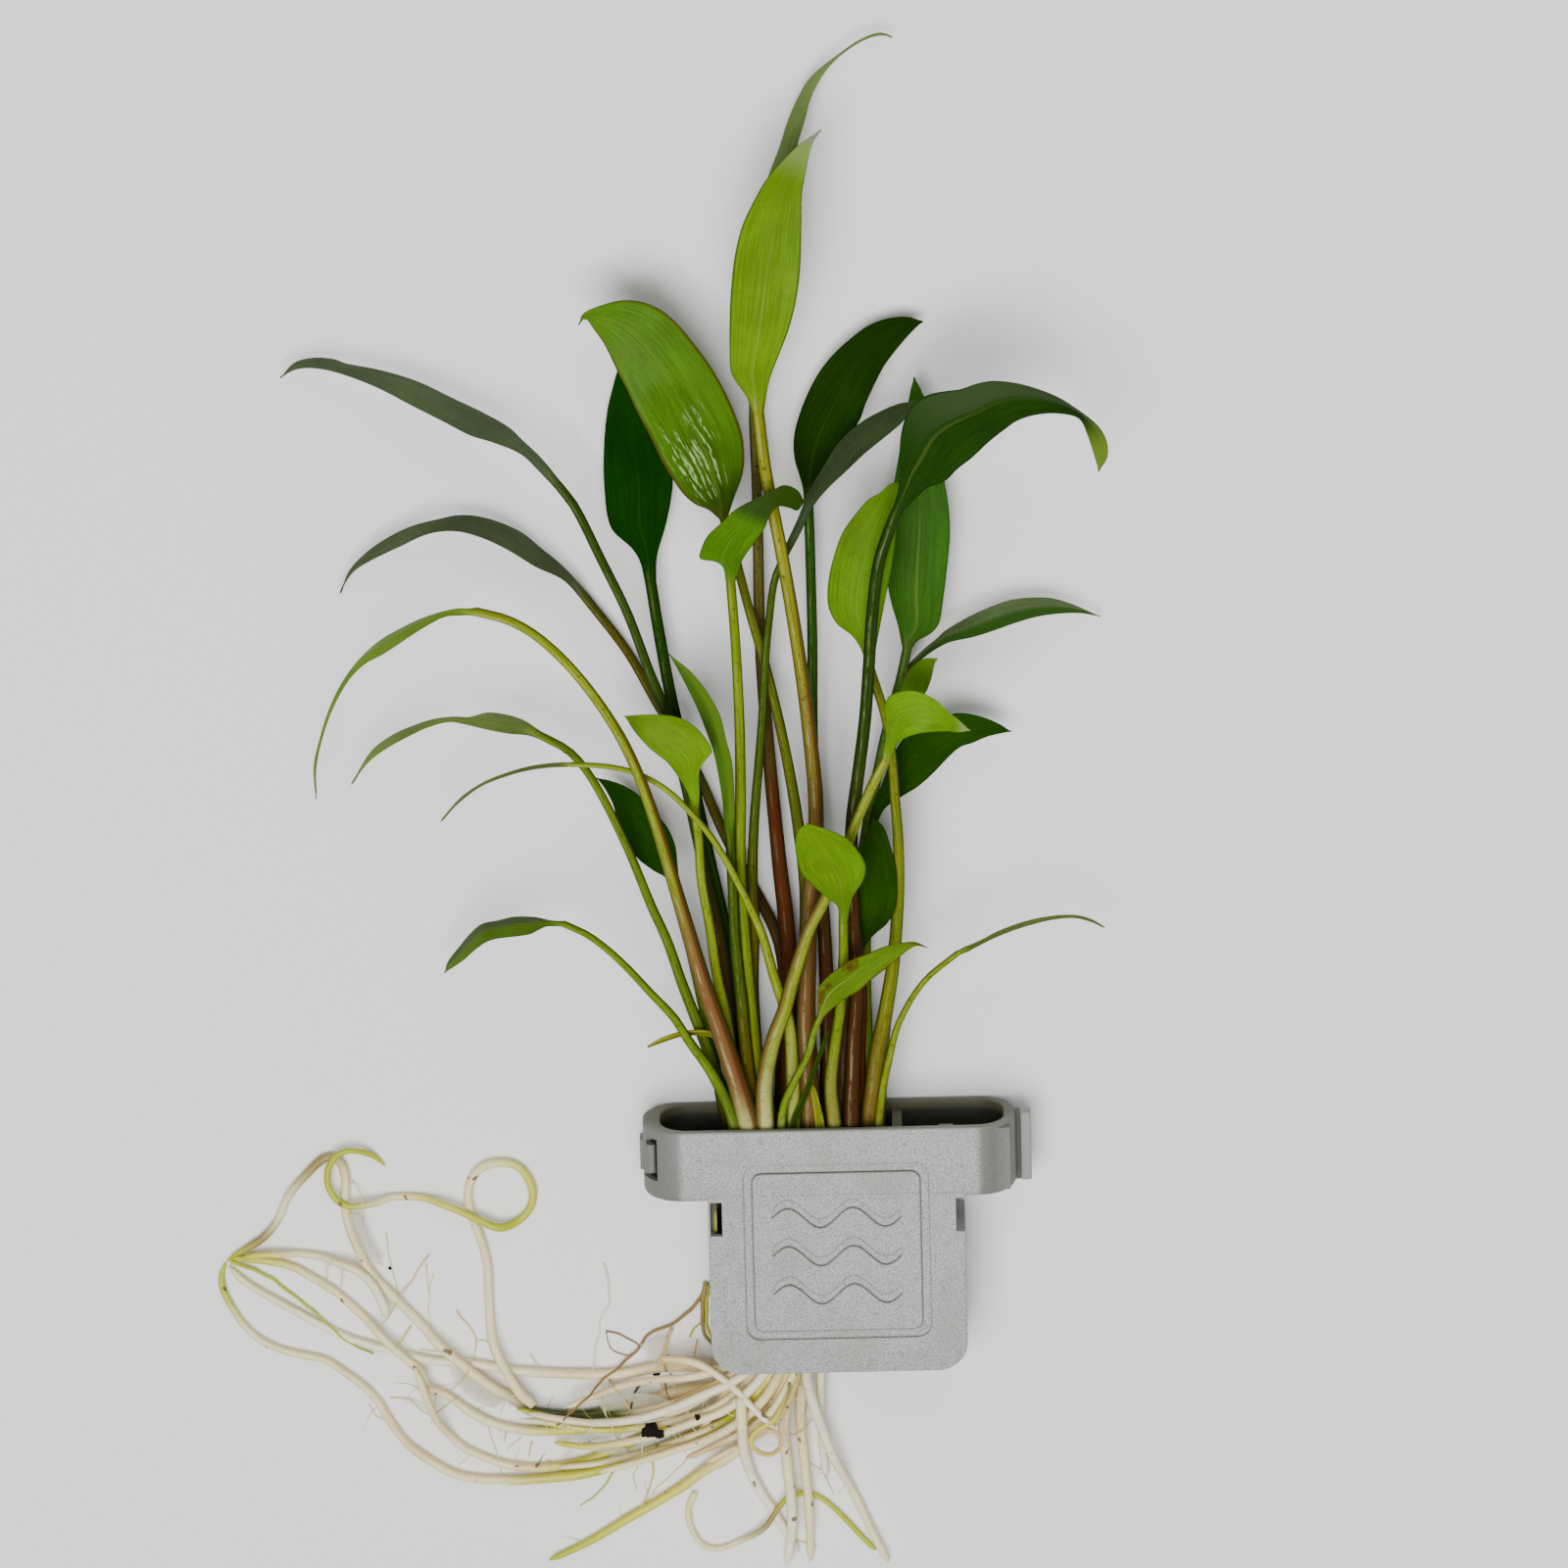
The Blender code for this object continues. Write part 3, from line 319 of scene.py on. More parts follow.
def carve(item, tool, operation="DIFFERENCE"):
    """Cut the tool out of the item, or join it on, and take the tool away."""
    pick(item)
    cut = item.modifiers.new("carve", "BOOLEAN")
    cut.operation = operation
    cut.solver = "EXACT"
    cut.object = tool
    bpy.ops.object.modifier_apply(modifier=cut.name)
    bpy.data.objects.remove(tool, do_unlink=True)


def level(first, second, axis, value):
    """Tell whether both ends of an edge lie at this value of an axis."""
    return abs(first[axis] - value) < 0.01 and abs(second[axis] - value) < 0.01


def depth_inside(place):
    """Measure how far a place lies inside the collar's outline."""
    away = Vector((abs(place.x - (POT_LEFT + POT_RIGHT) / 2) - (POT_RIGHT - POT_LEFT) / 2,
                   abs(place.z - POT_DEPTH / 2) - POT_DEPTH / 2)) + Vector((POT_TURN, POT_TURN))
    outside = Vector((max(away.x, 0.0), max(away.y, 0.0))).length
    return POT_TURN - outside - min(max(away.x, away.y), 0.0)


def on_rim(a, b):
    """Tell whether an edge runs along the outer or the inner edge of the rim."""
    return level(a, b, 1, COLLAR_TOP) and (depth_inside(a) < 0.1) == (depth_inside(b) < 0.1)


collar = block("pot_body", (POT_LEFT, COLLAR_FOOT, 0.0), (POT_RIGHT, COLLAR_TOP, POT_DEPTH))
soften(collar, lambda a, b: abs(a.y - b.y) > 1, POT_TURN, 14)
pick(collar)
bpy.ops.object.mode_set(mode="EDIT")
bpy.ops.mesh.select_mode(type="FACE")
bpy.ops.mesh.select_all(action="DESELECT")
bpy.ops.object.mode_set(mode="OBJECT")
for face in collar.data.polygons:
    face.select = face.normal.y > 0.9
bpy.ops.object.mode_set(mode="EDIT")
bpy.ops.mesh.inset(thickness=POT_WALL * MM)
inner_left = POT_LEFT + LEFT_END_WALL
inner_right = POT_RIGHT - RIGHT_END_WALL
bpy.ops.transform.resize(
    value=((inner_right - inner_left) / (POT_RIGHT - POT_LEFT - 2 * POT_WALL), 1.0, 1.0),
    center_override=((POT_LEFT + POT_RIGHT) / 2 * MM, 0.0, 0.0))
bpy.ops.transform.translate(
    value=(((inner_left + inner_right) - (POT_LEFT + POT_RIGHT)) / 2 * MM, 0.0, 0.0))
bpy.ops.mesh.extrude_region_move(
    TRANSFORM_OT_translate={"value": (0.0, (COLLAR_FOOT + POT_WALL - COLLAR_TOP) * MM, 0.0)})
bpy.ops.object.mode_set(mode="OBJECT")
soften(collar, on_rim, 0.45, 3)
soften(collar, lambda a, b: level(a, b, 1, COLLAR_FOOT), 1.5, 5)

body = block("pot_plate", (BODY_LEFT, BODY_FOOT, 0.0), (BODY_RIGHT, COLLAR_FOOT + 1, POT_DEPTH))
soften(body, lambda a, b: level(a, b, 1, BODY_FOOT) and abs(a.z - b.z) > 1, 5.6, 12)
soften(body, lambda a, b: (level(a, b, 2, POT_DEPTH) or level(a, b, 2, 0.0))
       and not level(a, b, 1, COLLAR_FOOT + 1), 0.4, 3)
carve(collar, body, "UNION")
latch = block("pot_latch", (POT_LEFT - LATCH_REACH, LATCH_FOOT, TONGUE_LEVEL),
              (POT_LEFT + 1.0, LATCH_TOP, 10.4))
soften(latch, lambda a, b: True, 0.3, 2)
carve(collar, latch, "UNION")
tongue = block("pot_tongue", (POT_RIGHT - 1.0, TONGUE_FOOT, TONGUE_LEVEL),
               (POT_RIGHT + TONGUE_REACH, TONGUE_TOP, 8.0))
soften(tongue, lambda a, b: True, 0.25, 2)
carve(collar, tongue, "UNION")
lip = block("pot_lip", (POT_RIGHT + LIP_START, LIP_FOOT, 6.9),
            (POT_RIGHT + TONGUE_REACH, LIP_TOP, 9.2))
soften(lip, lambda a, b: True, 0.4, 3)
carve(collar, lip, "UNION")
carve(collar, block("cut_hollow", (BODY_LEFT + POT_WALL, BODY_FOOT - 2, POT_WALL),
                    (BODY_RIGHT - RIGHT_SIDE_WALL, HOLLOW_TOP, POT_DEPTH - POT_WALL)))
carve(collar, block("cut_slot", (POT_LEFT - 1, SLOT_FOOT, 11.2), (POT_LEFT + 2.6, SLOT_TOP, 15.7)))
latch_bar = block("pot_latch_bar", (POT_LEFT + 0.6, BAR_FOOT, 11.0),
                  (POT_LEFT + 2.3, BAR_TOP, 14.0))
soften(latch_bar, lambda a, b: abs(a.y - b.y) > 1 and a.z > 12, 0.7, 5)
carve(collar, latch_bar, "UNION")
carve(collar, block("cut_left_window", (BODY_LEFT + WINDOW_START, WINDOW_FOOT, POT_DEPTH - 3),
                    (BODY_LEFT + WINDOW_END, WINDOW_TOP, POT_DEPTH + 1)))
carve(collar, block("cut_right_notch", (BODY_RIGHT - NOTCH_WIDTH, WINDOW_FOOT, -1.0),
                    (BODY_RIGHT + 1, WINDOW_TOP, POT_DEPTH + 1)))
carve(collar, block("cut_side_windows", (BODY_LEFT - 1, SIDE_WINDOW_FOOT, 4.5),
                    (BODY_RIGHT + 1, SIDE_WINDOW_TOP, 12.5)))
rib = block("pot_rib", (10.4, 10.6, 1.0), (12.2, 22.3, RIB_RISE))
soften(rib, lambda a, b: level(a, b, 2, RIB_RISE), 0.3, 2)
carve(collar, rib, "UNION")
for step_left, step_right in STEPS:
    carve(collar, block("pot_step", (step_left, STEP_FOOT, 13.0), (step_right, STEP_TOP, 16.0)),
          "UNION")

ring = block("cut_groove",
             (GROOVE_ACROSS - GROOVE_HALF, -GROOVE_HALF, POT_DEPTH - GROOVE_DEPTH),
             (GROOVE_ACROSS + GROOVE_HALF, GROOVE_HALF, POT_DEPTH + 1))
soften(ring, lambda a, b: abs(a.z - b.z) > 1, GROOVE_TURN, 6)
core_half = GROOVE_HALF - GROOVE_WIDTH
core = block("cut_core", (GROOVE_ACROSS - core_half, -core_half, 10.0),
             (GROOVE_ACROSS + core_half, core_half, POT_DEPTH + 2))
soften(core, lambda a, b: abs(a.z - b.z) > 1, CORE_TURN, 6)
carve(ring, core)
carve(collar, ring)

# Three plain wavy lines are pressed into the square, as a sign for water.
WAVE_LENGTH = 24.0
WAVE_RISE = 1.9
WAVE_WIDTH = 1.7
WAVE_STEPS = 60
WAVE_ROWS = (-7.5, 0.0, 7.5)
for wave_row in WAVE_ROWS:
    deselect()
    bpy.ops.mesh.primitive_grid_add(x_subdivisions=WAVE_STEPS, y_subdivisions=1, size=1.0)
    wave = bpy.context.object
    for corner in wave.data.vertices:
        turn = corner.co.x * 2 * math.pi * 2
        corner.co = Vector((GROOVE_ACROSS + corner.co.x * WAVE_LENGTH,
                            wave_row + WAVE_RISE * math.sin(turn) + corner.co.y * WAVE_WIDTH,
                            POT_DEPTH - GROOVE_DEPTH)) * MM
    bpy.ops.object.mode_set(mode="EDIT")
    bpy.ops.mesh.select_all(action="SELECT")
    bpy.ops.mesh.extrude_region_move(TRANSFORM_OT_translate={"value": (0.0, 0.0, 2 * MM)})
    bpy.ops.mesh.select_all(action="SELECT")
    bpy.ops.mesh.normals_make_consistent(inside=False)
    bpy.ops.object.mode_set(mode="OBJECT")
    carve(collar, wave)

# Small round pits mark the front of the moulding.
PIT_RADIUS = 0.42
PIT_LEVEL = 17.15
for pit_x, pit_y in ((-20.0, -2.0), (19.3, -7.6), (15.7, -8.7), (-14.4, -17.5), (-13.7, 21.6),
                     (23.2, 16.3), (-19.6, 5.7), (12.6, 20.8), (-25.0, 18.6)):
    deselect()
    bpy.ops.mesh.primitive_ico_sphere_add(subdivisions=2, radius=PIT_RADIUS * MM,
                                          location=(pit_x * MM, pit_y * MM, PIT_LEVEL * MM))
    pit = bpy.context.object
    bpy.ops.object.transform_apply(location=True, rotation=True, scale=True)
    carve(collar, pit)

pick(collar)
bpy.ops.object.shade_smooth_by_angle(angle=math.radians(32))

pot_plastic = Finish("pot_plastic")
spot = pot_plastic.place()
millimetres = pot_plastic.add("ShaderNodeVectorMath", {"operation": "SCALE"}, i0=spot, scale=1000.0)
across, up, out = (pot_plastic.add("ShaderNodeSeparateXYZ", output=part, vector=millimetres)
                   for part in range(3))


def outline_depth(first, second, half_first, half_second, turn):
    """Measure how far inside a rounded outline a place lies, in millimetres."""
    first = abs(first) - (half_first - turn)
    second = abs(second) - (half_second - turn)
    beyond = (first.math("MAXIMUM", 0.0) ** 2
              + second.math("MAXIMUM", 0.0) ** 2) ** 0.5
    within = first.math("MAXIMUM", second).math("MINIMUM", 0.0)
    return turn - beyond - within


# The plastic is a speckled grey, yellowed in patches and scuffed low on its front.
speckle = pot_plastic.cloud(spot, 3400.0, 2.0, 0.75)
fleck = pot_plastic.cloud(spot, 4700.0, 1.0, 0.5)
patch = pot_plastic.cloud(spot, 90.0, 4.0)
scuff = pot_plastic.cloud(spot, 420.0, 4.0, 0.7)
grey = pot_plastic.blend((0.19, 0.195, 0.185), (0.50, 0.51, 0.50),
                         pot_plastic.ramp(speckle, 0.3, 0.66))
grey = pot_plastic.blend(grey, (0.66, 0.67, 0.68), pot_plastic.ramp(fleck, 0.66, 0.74) * 0.7)
grey = pot_plastic.blend(grey, (0.29, 0.30, 0.26), pot_plastic.ramp(patch, 0.42, 0.75) * 0.45)
low_scuff = pot_plastic.ramp(up, -9.0, -20.0) * pot_plastic.ramp(scuff, 0.56, 0.66)
grey = pot_plastic.blend(grey, (0.22, 0.21, 0.17), low_scuff * 0.5)
# Painted shade darkens the collar's round ends, where they turn from the light, and the face of its rim;
# a painted shadow fills the gap behind the clip plate.
end_shade = pot_plastic.ramp(abs(across - (POT_LEFT + POT_RIGHT) / 2), 26.6, 28.4)
grey = pot_plastic.blend(grey, (0.125, 0.13, 0.112), end_shade * 0.85)
# The rim's face gets an olive-tinted painted shade, darkest towards the back.
rim_face = pot_plastic.ramp(up, 23.35, 23.8)
rim_shade = pot_plastic.blend((0.075, 0.075, 0.042), (0.19, 0.19, 0.145),
                             pot_plastic.ramp(out, 8.0, 15.0))
grey = pot_plastic.blend(grey, rim_shade, rim_face * 0.85)
plate = pot_plastic.ramp(across, POT_RIGHT + 0.85, POT_RIGHT + 1.0)
grey = pot_plastic.blend(grey, (0.31, 0.32, 0.29), plate * 0.85)
# Painted shadow in the gap between the collar's end and the clip plate.
gap_shadow = pot_plastic.ramp(across, POT_RIGHT - 0.1, POT_RIGHT + 0.1) * (1.0 - plate)
grey = pot_plastic.blend(grey, (0.07, 0.07, 0.05), gap_shadow * 0.8)
# Painted shade lies along both edges of the square groove and of each wave, darkest at the groove's inner
# edge.
front = pot_plastic.ramp(out, 16.2, 16.4)
from_middle = across - GROOVE_ACROSS
outer_line = abs(outline_depth(from_middle, up, GROOVE_HALF, GROOVE_HALF, GROOVE_TURN))
inner_line = abs(outline_depth(from_middle, up, core_half, core_half, CORE_TURN))
groove_shade = pot_plastic.ramp(outer_line, 0.28, 0.08) * 0.35
groove_shade = groove_shade.math("MAXIMUM", pot_plastic.ramp(inner_line, 0.3, 0.08) * 0.75)
swing = (from_middle * (4 * math.pi / WAVE_LENGTH)).math("SINE")
in_width = pot_plastic.ramp(abs(from_middle), WAVE_LENGTH / 2, WAVE_LENGTH / 2 - 0.3)
for wave_row in WAVE_ROWS:
    from_wave = abs(abs(up - wave_row - swing * WAVE_RISE) - WAVE_WIDTH / 2)
    groove_shade = groove_shade.math("MAXIMUM", pot_plastic.ramp(from_wave, 0.3, 0.08) * in_width * 0.65)
grey = pot_plastic.blend(grey, (0.10, 0.095, 0.075), groove_shade * front)
# Inside, the plastic is partly stained and partly painted with shade, near black deeper in,
# and algae grow in the small window at the left.
in_collar = (pot_plastic.ramp(outline_depth(across - (POT_LEFT + POT_RIGHT) / 2,
                                            out - POT_DEPTH / 2, (POT_RIGHT - POT_LEFT) / 2,
                                            POT_DEPTH / 2, POT_TURN), 1.2, 1.45)
             * pot_plastic.ramp(up, 10.9, 11.3))
in_body = (pot_plastic.ramp(across, BODY_RIGHT - 1.9, BODY_RIGHT - 2.2)
           * pot_plastic.ramp(across, BODY_LEFT + 0.9, BODY_LEFT + 1.3)
           * pot_plastic.ramp(abs(out - POT_DEPTH / 2), 7.15, 7.0)
           * pot_plastic.ramp(up, -23.6, -20.0))
stain_and_shade = in_collar.math("MAXIMUM", in_body)
grey = pot_plastic.blend(grey, (0.10, 0.10, 0.055), stain_and_shade * pot_plastic.ramp(up, 24.1, 23.6))
grey = pot_plastic.blend(grey, (0.042, 0.043, 0.03), stain_and_shade * pot_plastic.ramp(up, 22.8, 21.6))
in_window = (pot_plastic.ramp(out, 14.7, 14.3) * pot_plastic.ramp(across, -23.65, -23.5)
             * pot_plastic.ramp(across, -21.9, -22.1) * pot_plastic.ramp(abs(up - 6.8), 3.5, 3.3))
algae = pot_plastic.blend((0.30, 0.30, 0.02), (0.09, 0.08, 0.015), pot_plastic.ramp(up, 6.2, 8.0))
window_floor = pot_plastic.blend((0.09, 0.09, 0.07), algae, pot_plastic.ramp(across, -23.0, -22.8))
grey = pot_plastic.blend(grey, window_floor, in_window)
pot_plastic.paint(base_color=grey, roughness=patch * 0.2 + 0.45, specular_ior_level=0.4,
                  normal=pot_plastic.relief(speckle * 0.6 + fleck * 0.4, 0.4, 0.00008))
collar.data.materials.append(pot_plastic.material)
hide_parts("pot")
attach(collar, "root")


# Crown: the short stem that all leaves and roots grow from. It is brown, woody and fibrous, and
# it sits deep inside the pot, where the stalks and roots around it hold it.
CROWN_LOW = (-21.0, 4.9, 2.2)
CROWN_HIGH = (9.0, 14.9, 14.8)
CROWN_TURN = 2.0
CROWN_CUTS = 14
crown = block("crown_stem", CROWN_LOW, CROWN_HIGH)
soften(crown, lambda a, b: True, CROWN_TURN, 3)
pick(crown)
bpy.ops.object.mode_set(mode="EDIT")
bpy.ops.mesh.select_all(action="SELECT")
bpy.ops.mesh.subdivide(number_cuts=CROWN_CUTS)
bpy.ops.object.mode_set(mode="OBJECT")
for corner in crown.data.vertices:
    rough = noise.fractal(corner.co / MM * 0.45, 1.0, 2.0, 4)
    corner.co -= corner.normal * MM * (0.5 + 0.45 * rough)
bpy.ops.object.shade_smooth()
crown_skin = Finish("crown_skin")
fibres = crown_skin.cloud(crown_skin.place(), 700.0, 5.0)
crown_skin.paint(base_color=crown_skin.blend((0.06, 0.035, 0.015), (0.25, 0.17, 0.07),
                                             crown_skin.ramp(fibres, 0.35, 0.7)),
                 roughness=0.75, normal=crown_skin.relief(fibres, 0.8, 0.0005))
crown.data.materials.append(crown_skin.material)
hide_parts("crown")
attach(crown, "root")


# Leaves: each is one soft piece, a fleshy stalk that flattens into a narrow blade with a midrib
# and long veins. Its stalk and the two margins of its blade are written as the eye sees them.
FRESH = (0.118, 0.263, 0.004)
# Painted sheen: the grey in this green stands for light reflected off the upper face.
SHEEN_GREY_GREEN = (0.068, 0.10, 0.042)
UNDER = (0.07, 0.12, 0.025)
YELLOW_STALK = (0.23, 0.30, 0.012)
GREEN_STALK = (0.085, 0.15, 0.006)
DARK_FOOT = (0.045, 0.022, 0.006)


def smooth(points, parts=8):
    """Draw a smooth curve through the points, as a dense list of points."""
    line = []
    for i in range(len(points) - 1):
        before = points[max(i - 1, 0)]
        start = points[i]
        end = points[i + 1]
        after = points[min(i + 2, len(points) - 1)]
        span = (end - start).length
        lead = (end - before) / max(span + (start - before).length, 1e-6)
        tail = (after - start) / max((after - end).length + span, 1e-6)
        for k in range(parts):
            t = k / parts
            line.append(start * (2 * t ** 3 - 3 * t ** 2 + 1) + end * (3 * t ** 2 - 2 * t ** 3)
                        + lead * span * (t ** 3 - 2 * t ** 2 + t)
                        + tail * span * (t ** 3 - t ** 2))
    line.append(points[-1].copy())
    return line


def distances(line):
    """Measure how far along the line each of its points lies."""
    travelled = [0.0]
    for i in range(1, len(line)):
        travelled.append(travelled[-1] + (line[i] - line[i - 1]).length)
    return travelled


def shared_out(line, count):
    """Give this many points at equal distances along the line."""
    travelled = distances(line)
    places = []
    i = 1
    for k in range(count):
        goal = travelled[-1] * k / (count - 1)
        while i < len(line) - 1 and travelled[i] < goal:
            i += 1
        span = max(travelled[i] - travelled[i - 1], 1e-9)
        places.append(line[i - 1].lerp(line[i], (goal - travelled[i - 1]) / span))
    return places


def mixed(a, b, t):
    """Blend two numbers."""
    return a + (b - a) * t


def eased(t):
    """Ease a share from 0 to 1."""
    t = min(max(t, 0.0), 1.0)
    return t * t * (3 - 2 * t)


def scaled(colour, share):
    """Make a colour darker or lighter."""
    return tuple(min(c * share, 1.0) for c in colour)


def leaf_skin(name, blade, stalk, foot, under=UNDER, ribs=0.2, rim=0.5, brown=0.0, spots=0.0,
              wet=0.0, tip=None, band=None, gloss=0.3, freckles=0.5, foot_end=-0.7, base=None,
              shine=0.3, lustre=0.03, tip_start=0.80, point=None, flank=None, dusk=0.0):
    """Paint a leaf: blade with midrib, veins and margin, stalk with streaks and a pale foot.

    Along runs from -1 at the foot of the stalk to 0 at its neck and 1 at the blade's tip, and across
    from -1 to 1 between the margins. ribs, rim, brown, spots, wet, freckles, highlight and
    dusk are strengths from 0 to 1: highlight paints a highlight along the stalk, dusk
    paints shade towards the blade's base and wet adds painted glints of water. tip and
    point colour the end of the blade, band one side of it, flank one side of the stalk and base the
    lowest part of its foot.
    """
    skin = Finish(name)
    place = skin.place()
    across = skin.trait("leaf", 0)
    along = skin.trait("leaf", 1)
    side = skin.trait("leaf", 2)
    streaks = skin.cloud(skin.join(across * 14.0, along * 4.0, 0.0), 1.0, 3.0, 0.6)
    clouds = skin.cloud(place, 70.0, 3.0)
    fine = skin.cloud(place, 1300.0, 3.0, 0.6)
    vein_wave = abs((across * 3.0 + streaks * 1.3).math("FRACT") - 0.5)
    veins = skin.ramp(vein_wave, 0.10, 0.0) * skin.ramp(clouds, 0.36, 0.62)
    rib = skin.ramp(abs(across) * (along * 0.9 + 0.35), 0.06, 0.0)
    colour = skin.blend(scaled(blade, 0.72), scaled(blade, 1.28),
                        skin.ramp(streaks * 0.5 + clouds * 0.5, 0.33, 0.67))
    colour = skin.blend(colour, scaled(blade, 0.6), veins * 0.08)
    # Painted shade: the blade darkens towards its base.
    if dusk:
        colour = skin.blend(colour, scaled(blade, 0.4),
                            skin.ramp(along + clouds * 0.2, 0.55, 0.15) * dusk)
    colour = skin.blend(colour, scaled(blade, 0.62), skin.ramp(fine, 0.50, 0.68) * 0.3)
    pale = tuple(mixed(c, d, 0.35) for c, d in zip(blade, (0.40, 0.50, 0.12)))
    colour = skin.blend(colour, pale, rib * (skin.ramp(along, 0.7, 0.1) * 0.9 + 0.5) * ribs)
    if band:
        band_side, band_colour, band_start = band
        colour = skin.blend(colour, band_colour,
                            skin.ramp(across * band_side + streaks * 0.3, 0.1, 0.5)
                            * skin.ramp(along, band_start - 0.15, band_start + 0.1))
    # The underside is duller, damaged places have colours of their own, and tip and margins are recoloured.
    below = skin.ramp(side, 0.05, -0.05)
    colour = skin.blend(colour, under, below * 0.85)
    if tip:
        colour = skin.blend(colour, tip, skin.ramp(along, tip_start, tip_start + 0.14))
    if point:
        colour = skin.blend(colour, point, skin.ramp(along, 0.93, 0.96))
    margin = skin.ramp(abs(across), 0.90, 0.99)
    colour = skin.blend(colour, scaled(blade, 0.2), margin * rim)
    if brown:
        edge = skin.ramp(abs(across) + clouds * 0.25, 1.02, 1.10)
        colour = skin.blend(colour, (0.085, 0.022, 0.006), edge * brown)
    if spots:
        blotch = skin.ramp(skin.cloud(place, 300.0, 3.0), 0.52, 0.60)
        colour = skin.blend(colour, (0.10, 0.045, 0.008),
                            blotch * skin.ramp(across, 0.0, -0.5) * spots)
    # The stalk is streaked lengthwise, with a pale painted highlight line along it and painted shade on its
    # edges.
    stalk_lines = skin.cloud(skin.join(across * 4.0, side * 4.0, along * 10.0), 1.0, 4.0, 0.65)
    stem = skin.blend(scaled(stalk, 0.62), scaled(stalk, 1.35), skin.ramp(stalk_lines, 0.3, 0.7))
    foot_share = skin.ramp(along + clouds * 0.3, foot_end + 0.25, foot_end - 0.1)
    stem = skin.blend(stem, foot, foot_share)
    if base:
        stem = skin.blend(stem, base, skin.ramp(along + clouds * 0.12, -0.80, -0.89))
    if flank:
        flank_side, flank_colour = flank
        flank_face = skin.ramp(across * flank_side + stalk_lines * 0.3, 0.35, 0.7)
        stem = skin.blend(stem, flank_colour, flank_face * skin.ramp(along, -0.15, -0.4) * 0.85)
    breaks = skin.cloud(skin.join(across * 2.0, side * 2.0, along * 24.0), 1.0, 3.0, 0.6)
    highlight_line = (skin.ramp(abs(across + 0.25), 0.26, 0.06) * skin.ramp(side, 0.0, 0.6)
                  * skin.ramp(breaks, 0.42, 0.58))
    highlight_stem = tuple(mixed(c, d, 0.6) for c, d in zip(stalk, (0.66, 0.60, 0.36)))
    stem = skin.blend(stem, highlight_stem, highlight_line * skin.ramp(stalk_lines, 0.3, 0.6) * (shine * 0.7))
    # Painted shade: the stalk's edges are darkened.
    stem = skin.blend(stem, scaled(stalk, 0.22), skin.ramp(abs(across), 0.5, 0.98) * 0.8)
    if freckles:
        dots = skin.ramp(skin.cloud(place, 1200.0, 2.0), 0.60, 0.68)
        stem = skin.blend(stem, scaled(stalk, 0.3), dots * freckles)
    colour = skin.blend(stem, colour, skin.ramp(along, -0.03, 0.10))
    # Veins and midrib lie a little deeper, and water lies on a wet blade in slanting trails, whose pale
    # glints are painted highlights.
    relief = veins * -0.25 + rib * -0.5 + fine * 0.25 + streaks * 0.5
    rough = fine * 0.14 + gloss + skin.ramp(along, 0.05, -0.05) * 0.14
    if wet:
        drops = skin.cloud(skin.join(across * 7.0, along * 13.0, 0.0), 1.0, 4.0, 0.7)
        zone = (skin.ramp(along, 0.62, 0.45) * skin.ramp(along, 0.05, 0.15)
                * skin.ramp(abs(across + 0.3), 0.6, 0.3))
        relief = relief + drops * zone * 22.0 * wet
        rough = rough - zone * 0.2
        slant = across + along * 0.6
        glint_trails = skin.cloud(skin.join(slant * 13.0, along * 6.0, 4.0), 1.0, 2.0, 0.55)
        hatch = skin.cloud(skin.join(slant * 24.0, along * 30.0, 2.0), 1.0, 2.0, 0.5)
        glint_trails = skin.ramp(glint_trails, 0.53, 0.60) * skin.ramp(hatch, 0.40, 0.55)
        glint_zone = skin.ramp(along, 0.46, 0.36) * skin.ramp(along, 0.08, 0.14)
        glint_zone = glint_zone * skin.ramp(abs(across + 0.22), 0.75, 0.4)
        # Painted highlight: pale glints of water along the trails.
        colour = skin.blend(colour, (0.40, 0.64, 0.22), glint_trails * glint_zone * 0.9)
    skin.paint(base_color=colour, roughness=rough, normal=skin.relief(relief, 0.55, 0.00022),
               specular_ior_level=lustre, subsurface_weight=0.05,
               subsurface_radius=(0.6, 1.0, 0.2), subsurface_scale=0.0006)
    return skin.material


def close_up():
    """Merge the open sides of the active piece, close its ends, face it outwards and smooth it."""
    bpy.ops.object.mode_set(mode="EDIT")
    bpy.ops.mesh.select_all(action="SELECT")
    bpy.ops.mesh.remove_doubles(threshold=0.000002)
    bpy.ops.mesh.fill_holes(sides=0)
    bpy.ops.mesh.select_all(action="SELECT")
    bpy.ops.mesh.normals_make_consistent(inside=False)
    bpy.ops.object.mode_set(mode="OBJECT")
    bpy.ops.object.shade_smooth()


AROUND = 28
BLADE_ROWS = 70
STALK_SPACE = 2.2
STALK_START = -8.7
MARGIN_THICK = 0.16
RIB_THICK = 0.5


